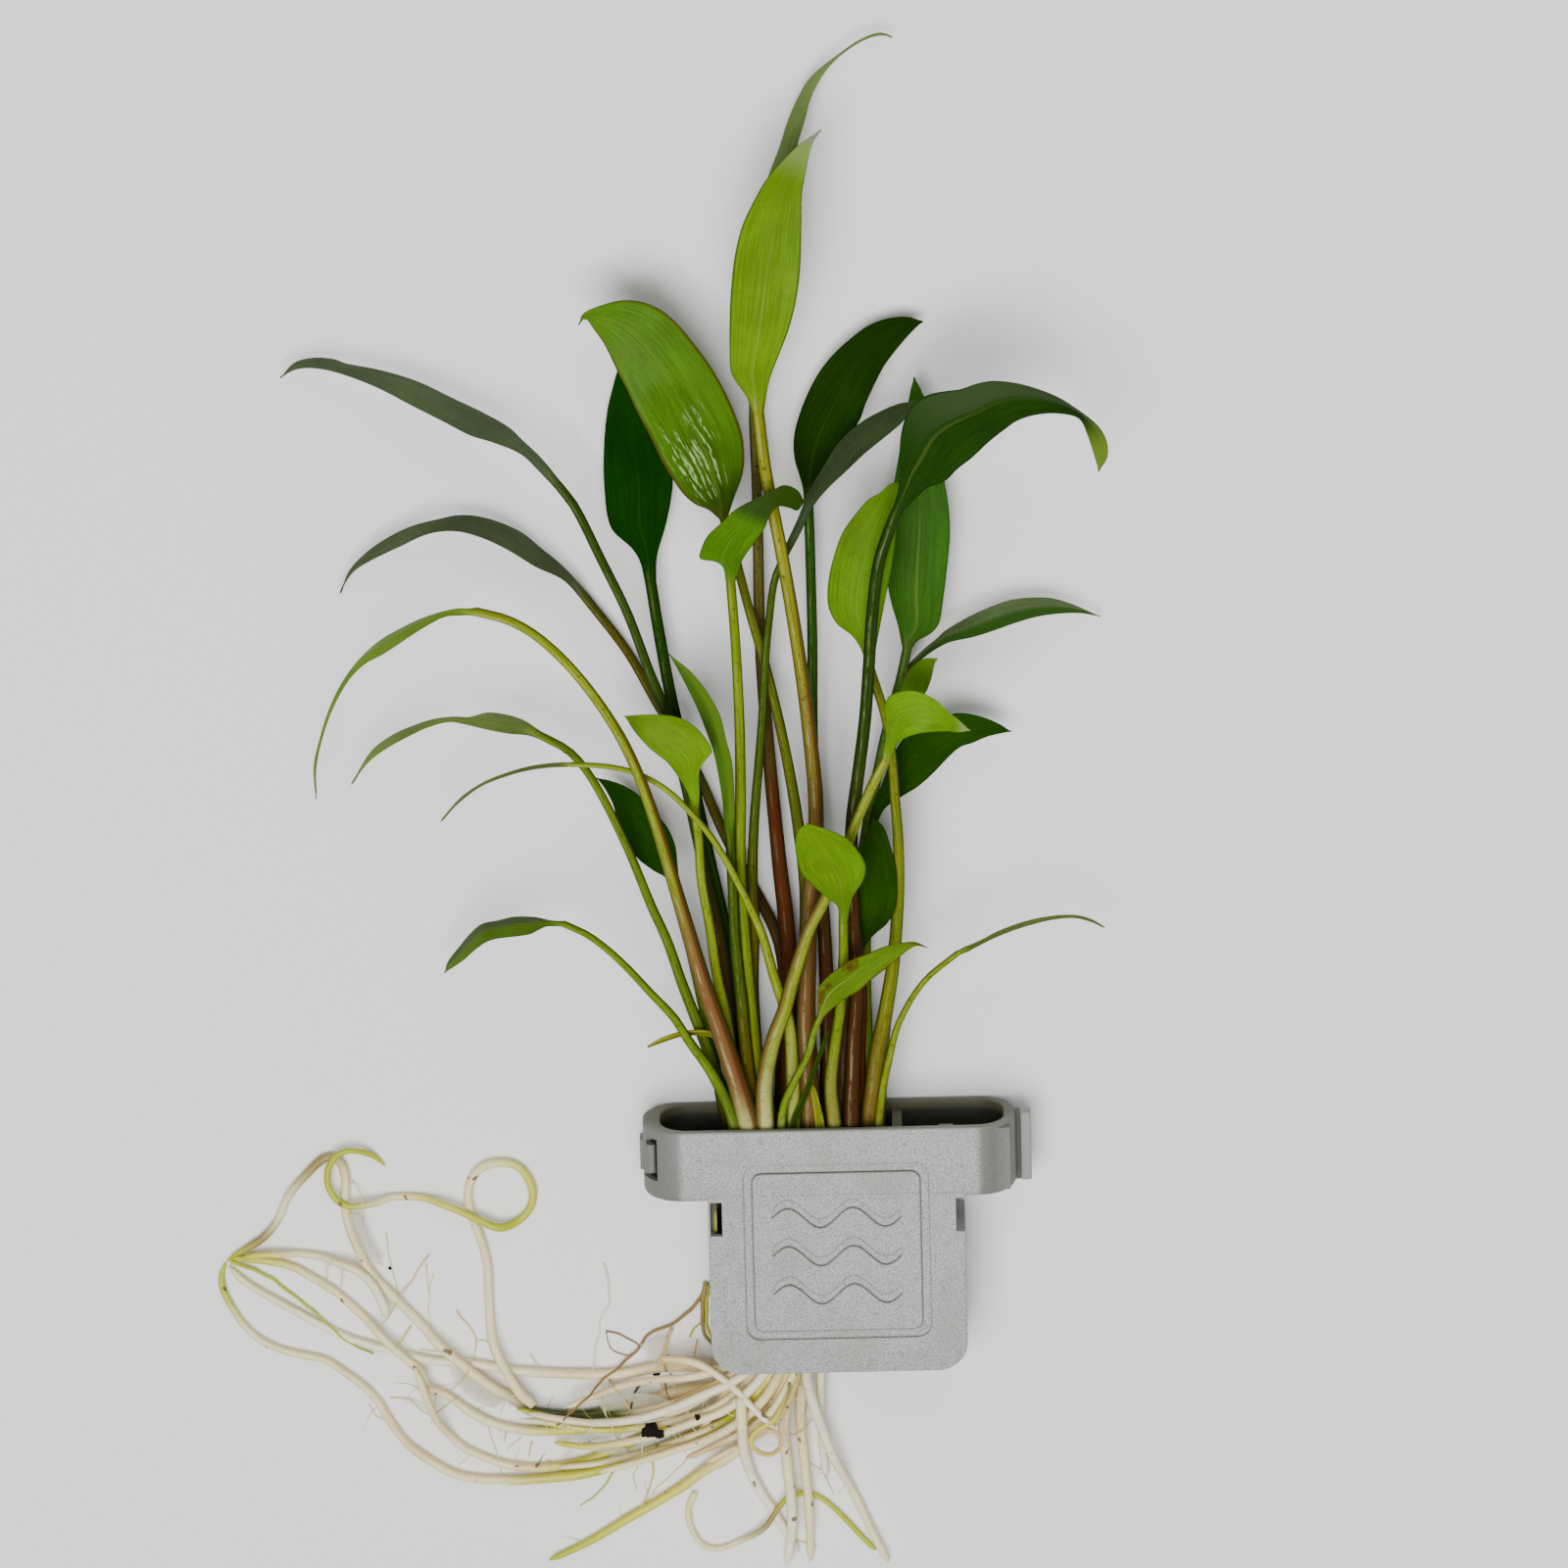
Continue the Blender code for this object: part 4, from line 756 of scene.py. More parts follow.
def grow_leaf(name, stalk, left, right, heights, lifts, thick, skin, ruffle=0.25, seed=1):
    """Roll a grid into a stalk and flatten its upper rows into the blade.

    The heights are those of the mouth, the neck, the blade's middle and its tip. The lifts say how
    far the left and the right margin rise, and thick how thick the stalk is at its foot and neck.
    """
    mouth, neck, middle, tip_height = heights
    flat = [Vector((x, y, 0.0)) for x, y in stalk]
    walked = distances(flat)
    stem = [Vector((stalk[0][0], STALK_START, mouth)) + MOUTH]
    stem += [seen(p.x, p.y, mixed(mouth, neck, w / walked[-1])) for p, w in zip(flat, walked)]
    stem = smooth(stem)
    stalk_rows = max(8, round(distances(stem)[-1] / STALK_SPACE))
    stem = shared_out(stem, stalk_rows)
    heading = (flat[-1] - flat[-2]).normalized()
    beside = Vector((heading.y, -heading.x, 0.0)) * thick[1] / 2
    left = [flat[-1] - beside] + [Vector((x, y, 0.0)) for x, y in left]
    right = [flat[-1] + beside] + [Vector((x, y, 0.0)) for x, y in right]
    left_line = shared_out(smooth(left), BLADE_ROWS)
    right_line = shared_out(smooth(right), BLADE_ROWS)
    widest = max((a - b).length for a, b in zip(left_line, right_line))
    rows = []
    for i, centre in enumerate(stem[:-1]):
        ahead = (stem[i + 1] - stem[max(i - 1, 0)]).normalized()
        side = ahead.cross(Vector((0.0, 0.0, 1.0))).normalized()
        share = i / (stalk_rows - 1)
        radius = mixed(thick[0], thick[1], 1 - (1 - share) ** 2) / 2
        rows.append((centre - side * radius, centre, centre + side * radius, radius, share - 1))
    for j in range(BLADE_ROWS):
        t = j / (BLADE_ROWS - 1)
        a, b = left_line[j], right_line[j]
        height = (neck * (1 - t) * (1 - 2 * t) + middle * 4 * t * (1 - t)
                  + tip_height * t * (2 * t - 1))
        swell = (a - b).length / widest * eased(t / 0.12)
        wave = noise.noise(Vector((t * 7.0, seed * 3.7, 0.0))) * ruffle * eased(t / 0.15)
        other = noise.noise(Vector((t * 8.0, seed * 5.1, 9.0))) * ruffle * eased(t / 0.15)
        if j == BLADE_ROWS - 1:
            across = (right_line[j - 1] - left_line[j - 1]).normalized() * 0.15
            a, b = a - across, b + across
        low = seen(a.x, a.y, max(height + lifts[0] * swell + wave, 0.3))
        high = seen(b.x, b.y, max(height + lifts[1] * swell + other, 0.3))
        spine = (a + b) / 2
        rows.append((low, seen(spine.x, spine.y, height), high, thick[1] / 2, t))
    deselect()
    bpy.ops.mesh.primitive_grid_add(x_subdivisions=AROUND, y_subdivisions=len(rows) - 1, size=1.0)
    leaf = bpy.context.object
    leaf.name = name
    trait = leaf.data.attributes.new("leaf", "FLOAT_VECTOR", "POINT")
    for j, (low, spine, high, radius, t) in enumerate(rows):
        after = rows[min(j + 1, len(rows) - 1)][1]
        before = rows[max(j - 1, 0)][1]
        ahead = (after - before).normalized()
        up = (high - low).cross(ahead).normalized()
        flatness = eased(t / 0.16)
        for k in range(AROUND + 1):
            angle = 2 * math.pi * k / AROUND
            s = math.cos(angle)
            middle_part = spine + (high - low) / 2 * s + ((high + low) / 2 - spine) * s * s
            thin = mixed(MARGIN_THICK, mixed(RIB_THICK, 0.22, t), 1 - min(abs(s) * 1.6, 1.0))
            depth = mixed(radius, thin, flatness)
            place = middle_part + up * depth * math.sin(angle)
            index = j * (AROUND + 1) + k
            leaf.data.vertices[index].co = place * MM
            trait.data[index].vector = (s, t, math.sin(angle))
    close_up()
    leaf.data.materials.append(skin)
    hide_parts(name)
    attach(leaf, "root")
    leaf.name = f"{name}_blade"
    return leaf


grow_leaf("leaf_01",
          [(-4.5, -4.5), (-5.4, 16.5), (-4.7, 38.5), (-3.6, 55.5), (-4.7, 70.5), (-7, 88.5),
           (-10, 107), (-13, 123), (-14.3, 134)],
          [(-16.2, 136.5), (-17.8, 139), (-19.2, 141.5), (-19.5, 146), (-19.5, 152), (-19.3, 157),
           (-18.6, 164), (-17.2, 170), (-15, 175), (-12.8, 179), (-10, 182.5), (-6.5, 186),
           (-2.7, 188.7)],
          [(-12.2, 140), (-10.8, 144), (-8.6, 150), (-7.2, 156), (-6.5, 162), (-6.3, 170),
           (-6.2, 176), (-5.4, 181), (-4.4, 185.5), (-2.7, 188.7)],
          (10.8, 18, 21, 17), (1.2, 0.2), (4.2, 2.3),
          leaf_skin("leaf_01_skin", (0.118, 0.243, 0.002), (0.22, 0.23, 0.015),
                    (0.15, 0.075, 0.022), tip=(0.20, 0.28, 0.07), tip_start=0.78, rim=0.8,
                    ribs=0.25, point=(0.24, 0.23, 0.17), foot_end=-0.36, shine=0.8,
                    flank=(1, (0.10, 0.03, 0.01)), freckles=0.8), seed=1)
grow_leaf("leaf_02",
          [(-8.5, -4.5), (-8.8, 31), (-10.4, 47), (-12.4, 69), (-13.9, 90), (-14.4, 116.5),
           (-15, 132)],
          [(-15.8, 145), (-15.6, 160), (-14.3, 172), (-12.3, 180), (-10.5, 185), (-9, 190),
           (-7.2, 194.5), (-5, 198.5), (-2.5, 201), (0, 203), (3, 205.3), (6, 207), (8.7, 207.6),
           (10.4, 206.6)],
          [(-13, 145), (-11.3, 160), (-9, 175), (-6.8, 186.5), (-5.8, 190), (-4.5, 195),
           (-2.5, 199), (-0.2, 202), (3, 204.7), (6, 206.4), (8.6, 207), (10.4, 206.6)],
          (5.2, 5, 5.5, 2.5), (-2.5, 1.5), (4.3, 1.9),
          leaf_skin("leaf_02_skin", (0.13, 0.20, 0.05), (0.085, 0.075, 0.012),
                    (0.075, 0.02, 0.005), ribs=0.4, shine=0.2, foot_end=-0.3,
                    freckles=0.9), seed=2)
grow_leaf("leaf_03",
          [(-6.5, -4.5), (-5.4, 38.5), (-7, 54.5), (-9.7, 70.5), (-13, 85), (-16, 96),
           (-18.9, 107.5), (-20.6, 113.5)],
          [(-23.5, 115), (-25.8, 116), (-28, 118), (-30, 121), (-32, 124.5), (-34, 129),
           (-36.5, 134), (-38.5, 138.5), (-40.2, 142), (-42.5, 147), (-44.5, 150), (-46, 152),
           (-47.2, 150.8)],
          [(-18.6, 117.5), (-17.2, 121.5), (-16.8, 125), (-17.3, 130), (-19.5, 136), (-22.5, 142),
           (-25.5, 146.5), (-29, 151), (-32.5, 154), (-36, 155.4), (-39.5, 155.6), (-43.5, 154.5),
           (-46.5, 153), (-47.2, 150.8)],
          (8, 8.2, 15, 12), (0.6, -1.5), (3.8, 1.7),
          leaf_skin("leaf_03_skin", (0.070, 0.171, 0.005), (0.10, 0.12, 0.005), DARK_FOOT,
                    brown=0.5, wet=1.0, gloss=0.36, lustre=0.06, foot_end=-0.5, dusk=0.75), seed=3)
grow_leaf("leaf_04",
          [(-14.6, -4.5), (-17.6, 14), (-20.3, 33), (-23, 46), (-26.6, 63.5), (-29.7, 76),
           (-32.2, 89.5), (-34, 101)],
          [(-36, 105), (-37.5, 107.5), (-41.3, 111.5), (-42.5, 119), (-42.6, 127), (-42, 134),
           (-40.9, 139), (-39.9, 142.8)],
          [(-32.8, 106), (-31.2, 112), (-30.1, 118), (-30, 122), (-31.5, 128), (-34, 134),
           (-37, 139), (-39.9, 142.8)],
          (3.1, 6, 3, 0.6), (1.0, 1.0), (3.0, 2.1),
          leaf_skin("leaf_04_skin", (0.003, 0.034, 0.0005), (0.015, 0.05, 0.003), DARK_FOOT,
                    ribs=0.04, lustre=0.0),
          seed=4)
grow_leaf("leaf_05",
          [(-17.3, -4.5), (-19.4, 14), (-21.2, 31), (-24.3, 46), (-28, 63.5), (-31.3, 76),
           (-34.2, 83.5), (-38.3, 95), (-43.4, 106), (-47.9, 115.5), (-50.8, 119.5)],
          [(-55, 123), (-58, 125.8), (-63, 128), (-67, 129.3), (-72, 132), (-78, 135.2),
           (-84, 138.5), (-90, 141), (-95, 142.3), (-99, 142.2), (-102, 140.6)],
          [(-54.5, 125.5), (-57.5, 128.5), (-60, 131), (-65, 134), (-70, 136.5), (-77, 140),
           (-84, 142.2), (-90, 143.4), (-92, 144.2), (-96, 144.5), (-99.5, 143.5), (-102, 140.6)],
          (5.2, 13, 10.5, 3), (3.5, -3.5), (3.0, 1.7),
          leaf_skin("leaf_05_skin", SHEEN_GREY_GREEN, (0.03, 0.065, 0.006), DARK_FOOT, ribs=0.1,
                    foot_end=-0.5), seed=5)
# leaf_06's grey-green blade colour is painted sheen.
grow_leaf("leaf_06",
          [(-10, -4.5), (-9.6, 14), (-9.4, 24), (-10.7, 32), (-14.4, 40.4), (-20.2, 51.5), (-24.8, 62.5),
           (-29.3, 71.5), (-32.6, 77), (-38.3, 87.5), (-46, 98)],
          [(-50, 101.3), (-55, 103.8), (-60, 107), (-65, 109.5), (-70, 110.8), (-75, 110.2),
           (-80, 107.8), (-85, 105.3), (-88.5, 103), (-90.2, 100.5), (-91, 98.8)],
          [(-50, 104), (-54, 107.5), (-57.5, 110.5), (-61, 112.3), (-65, 113.6), (-69, 114),
           (-73, 113.2), (-78, 111.8), (-82.5, 109.5), (-86.5, 106.5), (-89.5, 103),
           (-91, 98.8)],
          (3.1, 1.6, 7, 1.8), (2.6, -2.6), (2.9, 1.7),
          leaf_skin("leaf_06_skin", (0.06, 0.085, 0.035), (0.075, 0.07, 0.005), DARK_FOOT,
                    ribs=0.1, spots=0.15, foot_end=-0.45), ruffle=0.6, seed=6)
grow_leaf("leaf_07",
          [(-16, -4.5), (-19.8, 9.5), (-24.5, 24), (-29, 40), (-32.7, 53), (-36.4, 64),
           (-40.4, 72.5), (-47, 82.3), (-54, 89.7), (-60, 93.5), (-66, 95.2)],
          [(-71, 94.5), (-75, 92.5), (-79, 89.8), (-83, 87), (-86.5, 85), (-89.5, 81.8),
           (-92.3, 76.5), (-94.2, 71), (-95.4, 65), (-95.4, 59)],
          [(-72, 95.3), (-76, 94), (-80, 92), (-84, 89.5), (-88, 85.5), (-91, 81), (-93.2, 76),
           (-94.8, 70.5), (-95.9, 65), (-95.4, 59)],
          (13.1, 30, 24, 9), (2.8, -2.8), (4.6, 1.7),
          leaf_skin("leaf_07_skin", (0.12, 0.22, 0.012), (0.22, 0.27, 0.012), (0.19, 0.09, 0.03),
                    foot_end=-0.5, base=(0.40, 0.40, 0.13), flank=(1, (0.10, 0.025, 0.01)),
                    shine=0.8), seed=7)
grow_leaf("leaf_08",
          [(-18.9, -4.5), (-23.6, 10.5), (-28, 22.5), (-31, 31.5), (-33.8, 38), (-38.3, 49.5),
           (-44.3, 62), (-48.8, 68), (-54.4, 71.3)],
          [(-57, 71.3), (-60, 71.5), (-64, 72.3), (-68, 73.3), (-71, 73.8), (-75, 72.7),
           (-79, 70.7), (-83, 68.3), (-86, 65.8), (-88.9, 61.8)],
          [(-57.5, 74.3), (-60.5, 75.3), (-64, 75.7), (-67.5, 74.8), (-70, 74.9), (-74, 74.4),
           (-78, 73), (-82, 71), (-85.5, 68), (-88.9, 61.8)],
          (10, 15, 13, 5), (3, -3), (2.8, 1.5),
          leaf_skin("leaf_08_skin", (0.125, 0.19, 0.035), (0.11, 0.17, 0.008), DARK_FOOT),
          seed=8)
grow_leaf("leaf_09",
          [(-7.8, -4.5), (-7.9, 6.5), (-8.8, 16.5), (-11.2, 24), (-13.5, 32.5), (-16, 38.5),
           (-19.9, 46.5), (-23.2, 52), (-26.6, 56.2), (-31, 60.6), (-36.4, 63.8), (-42, 65.2),
           (-48.4, 65.6)],
          [(-52, 65.2), (-56, 64.6), (-60, 63.5), (-65, 61.4), (-69, 58.3), (-72.5, 54.6)],
          [(-52, 65.7), (-56, 65.2), (-60, 64.1), (-65, 62), (-69.2, 58.9), (-72.5, 54.6)],
          (10.6, 21.5, 18, 10), (1.6, -1.6), (3.4, 1.0),
          leaf_skin("leaf_09_skin", (0.12, 0.17, 0.03), YELLOW_STALK, (0.42, 0.43, 0.10),
                    foot_end=-0.72, shine=0.8), ruffle=0.1, seed=9)
grow_leaf("leaf_10",
          [(-20, -4.5), (-23.6, 14.5), (-26, 26), (-29.6, 41)],
          [(-31.2, 43.5), (-33.5, 45), (-36.5, 47.5), (-38.5, 51), (-40, 54.5), (-41, 58),
           (-42.5, 61), (-44, 63)],
          [(-28.8, 43), (-29.1, 47), (-29.5, 50), (-31, 53.5), (-33.5, 56.5), (-36, 59.5),
           (-38.5, 61.3), (-41.5, 62.5), (-44, 63)],
          (5.4, 9, 8, 4), (0.8, 0.8), (2.8, 1.5),
          leaf_skin("leaf_10_skin", (0.008, 0.042, 0.001), GREEN_STALK, DARK_FOOT, ribs=0.05,
                    lustre=0.0),
          seed=10)
grow_leaf("leaf_11",
          [(-17.5, -4.5), (-20.2, 17), (-21.8, 24.5), (-23.2, 34.5), (-24.7, 43.5),
           (-25.2, 51.5), (-25.9, 57)],
          [(-27, 59.5), (-28.5, 62.5), (-31, 66), (-34, 68.5), (-37, 72), (-38.8, 75)],
          [(-25, 60), (-25, 64.5), (-23.8, 66.5), (-22.7, 68.2), (-24.5, 71.5), (-27, 73.8),
           (-30, 75), (-35, 75.3), (-38.8, 75)],
          (8, 15, 19, 17), (0.8, 0.8), (2.8, 1.7),
          leaf_skin("leaf_11_skin", (0.125, 0.255, 0.004), YELLOW_STALK, (0.24, 0.27, 0.03)), seed=11)
# leaf_12's grey-green band is painted sheen.
grow_leaf("leaf_12",
          [(-18.6, -4.5), (-19.6, -1), (-22.9, 6), (-27, 12), (-29.7, 16.5), (-33.3, 20.5),
           (-39.6, 27.5), (-45.2, 32.3), (-50, 34.7)],
          [(-53, 34.2), (-56, 32.7), (-58, 32.3), (-62, 31.8), (-64, 31.2), (-66, 29.8),
           (-68.5, 27.5), (-71.8, 25.2)],
          [(-52, 35.3), (-55, 36), (-59, 36.1), (-62, 35.4), (-65, 34.7), (-67, 33),
           (-69, 30.5), (-71.3, 27.3), (-71.8, 25.2)],
          (13.3, 22, 17, 8), (2.8, -2.8), (2.8, 1.3),
          leaf_skin("leaf_12_skin", (0.068, 0.14, 0.008), (0.13, 0.21, 0.008), (0.08, 0.12, 0.01),
                    band=(1, (0.05, 0.08, 0.02), -1.0)),
          seed=12)
grow_leaf("leaf_13",
          [(-14.8, -4.5), (-16.4, 9), (-17.3, 20), (-18.4, 31), (-19, 43.5), (-19.4, 52)],
          [(-20.8, 58), (-21.5, 63), (-22.5, 68), (-23.8, 72), (-25.5, 76.5), (-28.3, 82.5),
           (-30.6, 87)],
          [(-18.6, 60), (-19, 66), (-20, 70), (-21.2, 75), (-23.5, 79.5), (-26.5, 83.5),
           (-30.6, 87)],
          (9.8, 14, 16, 14), (-1.5, 1.5), (3.4, 1.9),
          leaf_skin("leaf_13_skin", (0.05, 0.12, 0.006), (0.05, 0.09, 0.005),
                    (0.10, 0.07, 0.002), band=(1, (0.08, 0.16, 0.01), -1.0), foot_end=-0.5),
          seed=13)
grow_leaf("leaf_14",
          [(-12.6, -4.5), (-14.6, 8), (-16, 21.5), (-17, 35), (-17.6, 47), (-17.5, 58),
           (-17.6, 70.5), (-18, 81.5), (-18.5, 90.5), (-19.3, 101)],
          [(-20.8, 104), (-22.5, 105), (-25, 105.5), (-24.7, 107.5), (-23.5, 110), (-21, 112.5),
           (-18.5, 115), (-15, 117), (-12, 118.5), (-9.5, 119.8), (-7, 118.8), (-5.8, 116.5)],
          [(-17.2, 105), (-15, 108.5), (-13, 111.5), (-12, 114), (-10.5, 115.6), (-8.5, 115.3),
           (-7, 114.8), (-5.8, 116.5)],
          (8, 14.5, 22, 20), (0.5, 0.5), (3.5, 1.8),
          leaf_skin("leaf_14_skin", (0.062, 0.165, 0.004), (0.17, 0.24, 0.008), (0.10, 0.075, 0.006),
                    tip=(0.022, 0.055, 0.004), tip_start=0.48, foot_end=-0.7), seed=14)
grow_leaf("leaf_15",
          [(-1.4, -4.5), (-1.4, 14), (-2, 31), (-3, 46), (-4, 61.5), (-4.3, 76), (-4.3, 90),
           (-4.7, 107), (-5, 116)],
          [(-6, 119), (-6.8, 122), (-7.6, 125), (-7.7, 129), (-6.5, 134), (-4, 140), (-1, 144.5),
           (2.5, 148), (6, 150.7), (10, 152.2), (13.3, 152.4), (16, 151.5)],
          [(-3.4, 119), (-0.5, 124), (2, 128.5), (4.5, 132.5), (5.3, 135), (7, 139), (9, 143),
           (11.5, 146.5), (14, 149.5), (16, 151.5)],
          (3.1, 6, 5.8, 3), (-2.0, 2.0), (3.4, 1.8),
          leaf_skin("leaf_15_skin", (0.009, 0.033, 0.001), (0.025, 0.085, 0.008), (0.10, 0.035, 0.012),
                    ribs=0.06, foot_end=-0.5, shine=0.5, dusk=0.5, lustre=0.0), seed=15)
# leaf_16's grey-green blade colour is painted sheen.
grow_leaf("leaf_16",
          [(-11.3, -4.5), (-14.2, 6), (-15.3, 20), (-15, 36), (-15.3, 43.5), (-15, 54),
           (-14.2, 65), (-13.5, 74.5), (-13, 85), (-12.2, 94), (-11.2, 101.5), (-9.2, 106.5)],
          [(-6.9, 113.5), (-5, 118.5), (-2.5, 123), (0.5, 128), (4, 131.5), (8, 134),
           (12, 135.7), (15.3, 135.9)],
          [(-6.2, 111), (-4.2, 115.5), (-1.5, 119), (2, 122.5), (5.5, 126), (9, 129),
           (12, 131.7), (15.3, 135.9)],
          (5.2, 12.5, 15.5, 13), (-2.8, 2.8), (3.4, 1.4),
          leaf_skin("leaf_16_skin", (0.04, 0.065, 0.022), (0.05, 0.09, 0.006), (0.10, 0.07, 0.002),
                    ribs=0.1, foot_end=-0.5), seed=16)
# leaf_17's grey-green band beyond the midrib is painted sheen.
grow_leaf("leaf_17",
          [(2.9, -4.5), (3.4, 12.5), (4, 23.5), (3.2, 36.5), (2.9, 52.5), (4.3, 65), (5.4, 74.5),
           (6.1, 85), (6.8, 96), (8, 105), (10, 111.5)],
          [(11.3, 118), (11.6, 122), (11.8, 128), (12.5, 132), (14.2, 135.5), (17, 137.3),
           (20, 138), (23, 138.4), (26, 139.5), (29, 140), (33, 139.6), (37, 138.5),
           (41, 136.8), (44, 134.8), (46.5, 132.9), (48.6, 130.8), (49.9, 128), (49.9, 125),
           (48.3, 122.5)],
          [(12.8, 115), (14.5, 117), (17, 119.3), (20, 120.5), (22.5, 123), (25, 125),
           (28, 128), (31, 130.5), (33.5, 132.3), (37, 133.4), (41, 133.6), (44.7, 132.6),
           (46.2, 129.5), (47.3, 126), (48.3, 122.5)],
          (13.3, 27, 30, 20), (-4.0, 4.0), (3.3, 2.2),
          leaf_skin("leaf_17_skin", (0.012, 0.045, 0.003), (0.02, 0.05, 0.004), (0.06, 0.022, 0.006),
                    ribs=0.2, shine=0.6, foot_end=-0.42, tip=(0.13, 0.22, 0.02),
                    band=(-1, (0.04, 0.07, 0.022), 0.36)), seed=17)
grow_leaf("leaf_18",
          [(6.1, -4.5), (6.8, 2), (7.7, 10), (9.2, 18), (10.6, 27.5), (11.5, 40), (11.5, 50.5),
           (10.8, 60), (10.3, 67), (9.2, 74.5), (6.4, 84)],
          [(4.8, 87.5), (3, 90.5), (0.5, 92.5), (-0.8, 94.5), (-1.5, 97), (-1.4, 101),
           (-0.5, 105.5), (1.2, 110.5), (3.5, 114), (6, 117), (8, 118.2), (10, 120),
           (11.6, 120.4)],
          [(7.4, 88), (8.3, 93), (9.2, 98), (10.3, 104), (11, 110), (11.4, 116), (11.6, 120.4)],
          (10.6, 18, 20, 18), (0.8, 0.8), (3.9, 1.7),
          leaf_skin("leaf_18_skin", (0.088, 0.20, 0.003), (0.16, 0.19, 0.01), (0.15, 0.085, 0.015),
                    spots=0.1), seed=18)
grow_leaf("leaf_19",
          [(1.2, -4.5), (1.6, 6.5), (2.2, 18), (3.4, 35), (5.2, 50), (7.6, 63.5), (9.9, 74.5),
           (12, 82.5), (13.1, 88)],
          [(11.8, 90.5), (11.3, 93), (10.3, 96.5), (9.5, 101), (9.5, 108), (10, 115),
           (11, 122), (12, 128), (13, 134), (13.8, 138.5), (14.4, 140.7)],
          [(15, 89.5), (17.5, 91), (19, 93), (19.8, 98), (20.5, 104), (21, 110), (20.8, 115),
           (20, 120.5), (19, 127), (17.5, 133), (15.8, 138), (14.4, 140.7)],
          (5.2, 8, 7, 4), (0.8, 0.8), (3.2, 1.8),
          leaf_skin("leaf_19_skin", (0.03, 0.109, 0.004), (0.075, 0.15, 0.02),
                    (0.10, 0.035, 0.015), ribs=0.3, foot_end=-0.45), seed=19)
# leaf_20's grey-green blade colour is painted sheen; its band is the green side without it.
grow_leaf("leaf_20",
          [(4.7, -4.5), (5.2, 10), (5, 27), (5.2, 42.5), (6.3, 55.5), (8.1, 68), (10.6, 78),
           (14, 85)],
          [(16, 87.8), (18.5, 90), (20, 91.5), (24, 94), (28, 96), (32, 97.5), (36, 98),
           (40, 97.8), (44, 96.5), (48.5, 94.3)],
          [(16.8, 86.8), (18.5, 88), (21, 89.3), (25, 90.2), (29, 91.5), (33, 93), (37, 94.2),
           (41, 94.8), (45, 94.9), (48.5, 94.3)],
          (2.9, 3.2, 7.5, 1.5), (-2.4, 2.4), (2, 1.1),
          leaf_skin("leaf_20_skin", (0.10, 0.155, 0.055), (0.03, 0.05, 0.005),
                    (0.10, 0.035, 0.015), ribs=0.15, foot_end=-0.4,
                    band=(1, (0.03, 0.085, 0.01), -1.0)), seed=20)
grow_leaf("leaf_21",
          [(8.2, -4.5), (8.8, 8), (9.8, 20), (11, 40), (11.3, 50), (10.8, 60), (10.4, 67),
           (11, 75)],
          [(11.5, 79), (13, 83), (14.5, 85), (16.5, 86.2), (18.7, 86.1)],
          [(14, 77), (16.5, 79.5), (17.5, 82), (18.2, 85), (18.7, 86.1)],
          (5.2, 14.5, 17.5, 18), (0.5, 0.5), (2, 1.2),
          leaf_skin("leaf_21_skin", (0.09, 0.20, 0.005), YELLOW_STALK, (0.10, 0.08, 0.02)),
          seed=21)
# leaf_22's pale tip colour is a painted highlight.
grow_leaf("leaf_22",
          [(-13, -4.5), (-13, 4), (-11.5, 12), (-9.4, 18), (-7.4, 25.5), (-4.7, 34), (-2.2, 39),
           (0.9, 46.5), (3.6, 54), (6.5, 61), (9.4, 67)],
          [(9.2, 71), (9.3, 74), (9, 77), (10, 79), (13, 79.9), (15.5, 79.6), (18.5, 78),
           (20.5, 76), (22.5, 74.3), (24.6, 72.2)],
          [(10.8, 68.7), (12.5, 70.5), (15, 71.5), (18, 71.9), (20.5, 72), (22.5, 71.8),
           (24.6, 72.2)],
          (13.2, 27, 33, 30), (0.8, 0.8), (3.9, 1.9),
          leaf_skin("leaf_22_skin", FRESH, (0.24, 0.29, 0.02), (0.55, 0.52, 0.22),
                    tip=(0.30, 0.38, 0.12), tip_start=0.84, foot_end=-0.75,
                    flank=(-1, (0.22, 0.12, 0.03)), shine=0.9), seed=22)
grow_leaf("leaf_23",
          [(6.6, -4.5), (5.8, 12), (5.6, 27), (6, 42.5), (6.8, 54)],
          [(7, 58), (8.5, 62), (10, 66), (12, 70), (16, 73.5), (21.3, 75.4), (24, 75.5),
           (27, 74.8), (30, 73.5), (32.2, 72)],
          [(9, 57), (12.2, 59.4), (15, 61.2), (18, 64), (21, 67.3), (23, 69), (25, 69.7),
           (28, 71), (32.2, 72)],
          (8, 8.5, 9.5, 5), (0.6, 0.6), (3.0, 1.5),
          leaf_skin("leaf_23_skin", (0.012, 0.050, 0.001), GREEN_STALK, DARK_FOOT, ribs=0.05,
                    lustre=0.0),
          seed=23)
grow_leaf("leaf_24",
          [(-0.2, -4.5), (-0.9, 3.5), (-0.2, 10.5), (0.9, 19), (1.4, 28), (1.4, 35.5)],
          [(0.3, 38), (-1.5, 39.6), (-4, 41.8), (-6.3, 44.5), (-7.3, 48), (-7.4, 51),
           (-6.7, 53), (-5.3, 54.1)],
          [(2.6, 38), (3.2, 40), (5, 43), (5.5, 46), (4, 49), (2, 51.3), (-1, 52.8),
           (-4, 53.8), (-5.3, 54.1)],
          (13.3, 23, 31, 36), (0.8, 0.8), (3.2, 1.8),
          leaf_skin("leaf_24_skin", (0.104, 0.22, 0.003), (0.15, 0.23, 0.006), (0.21, 0.21, 0.03),
                    foot_end=-0.5, dusk=0.3), seed=24)
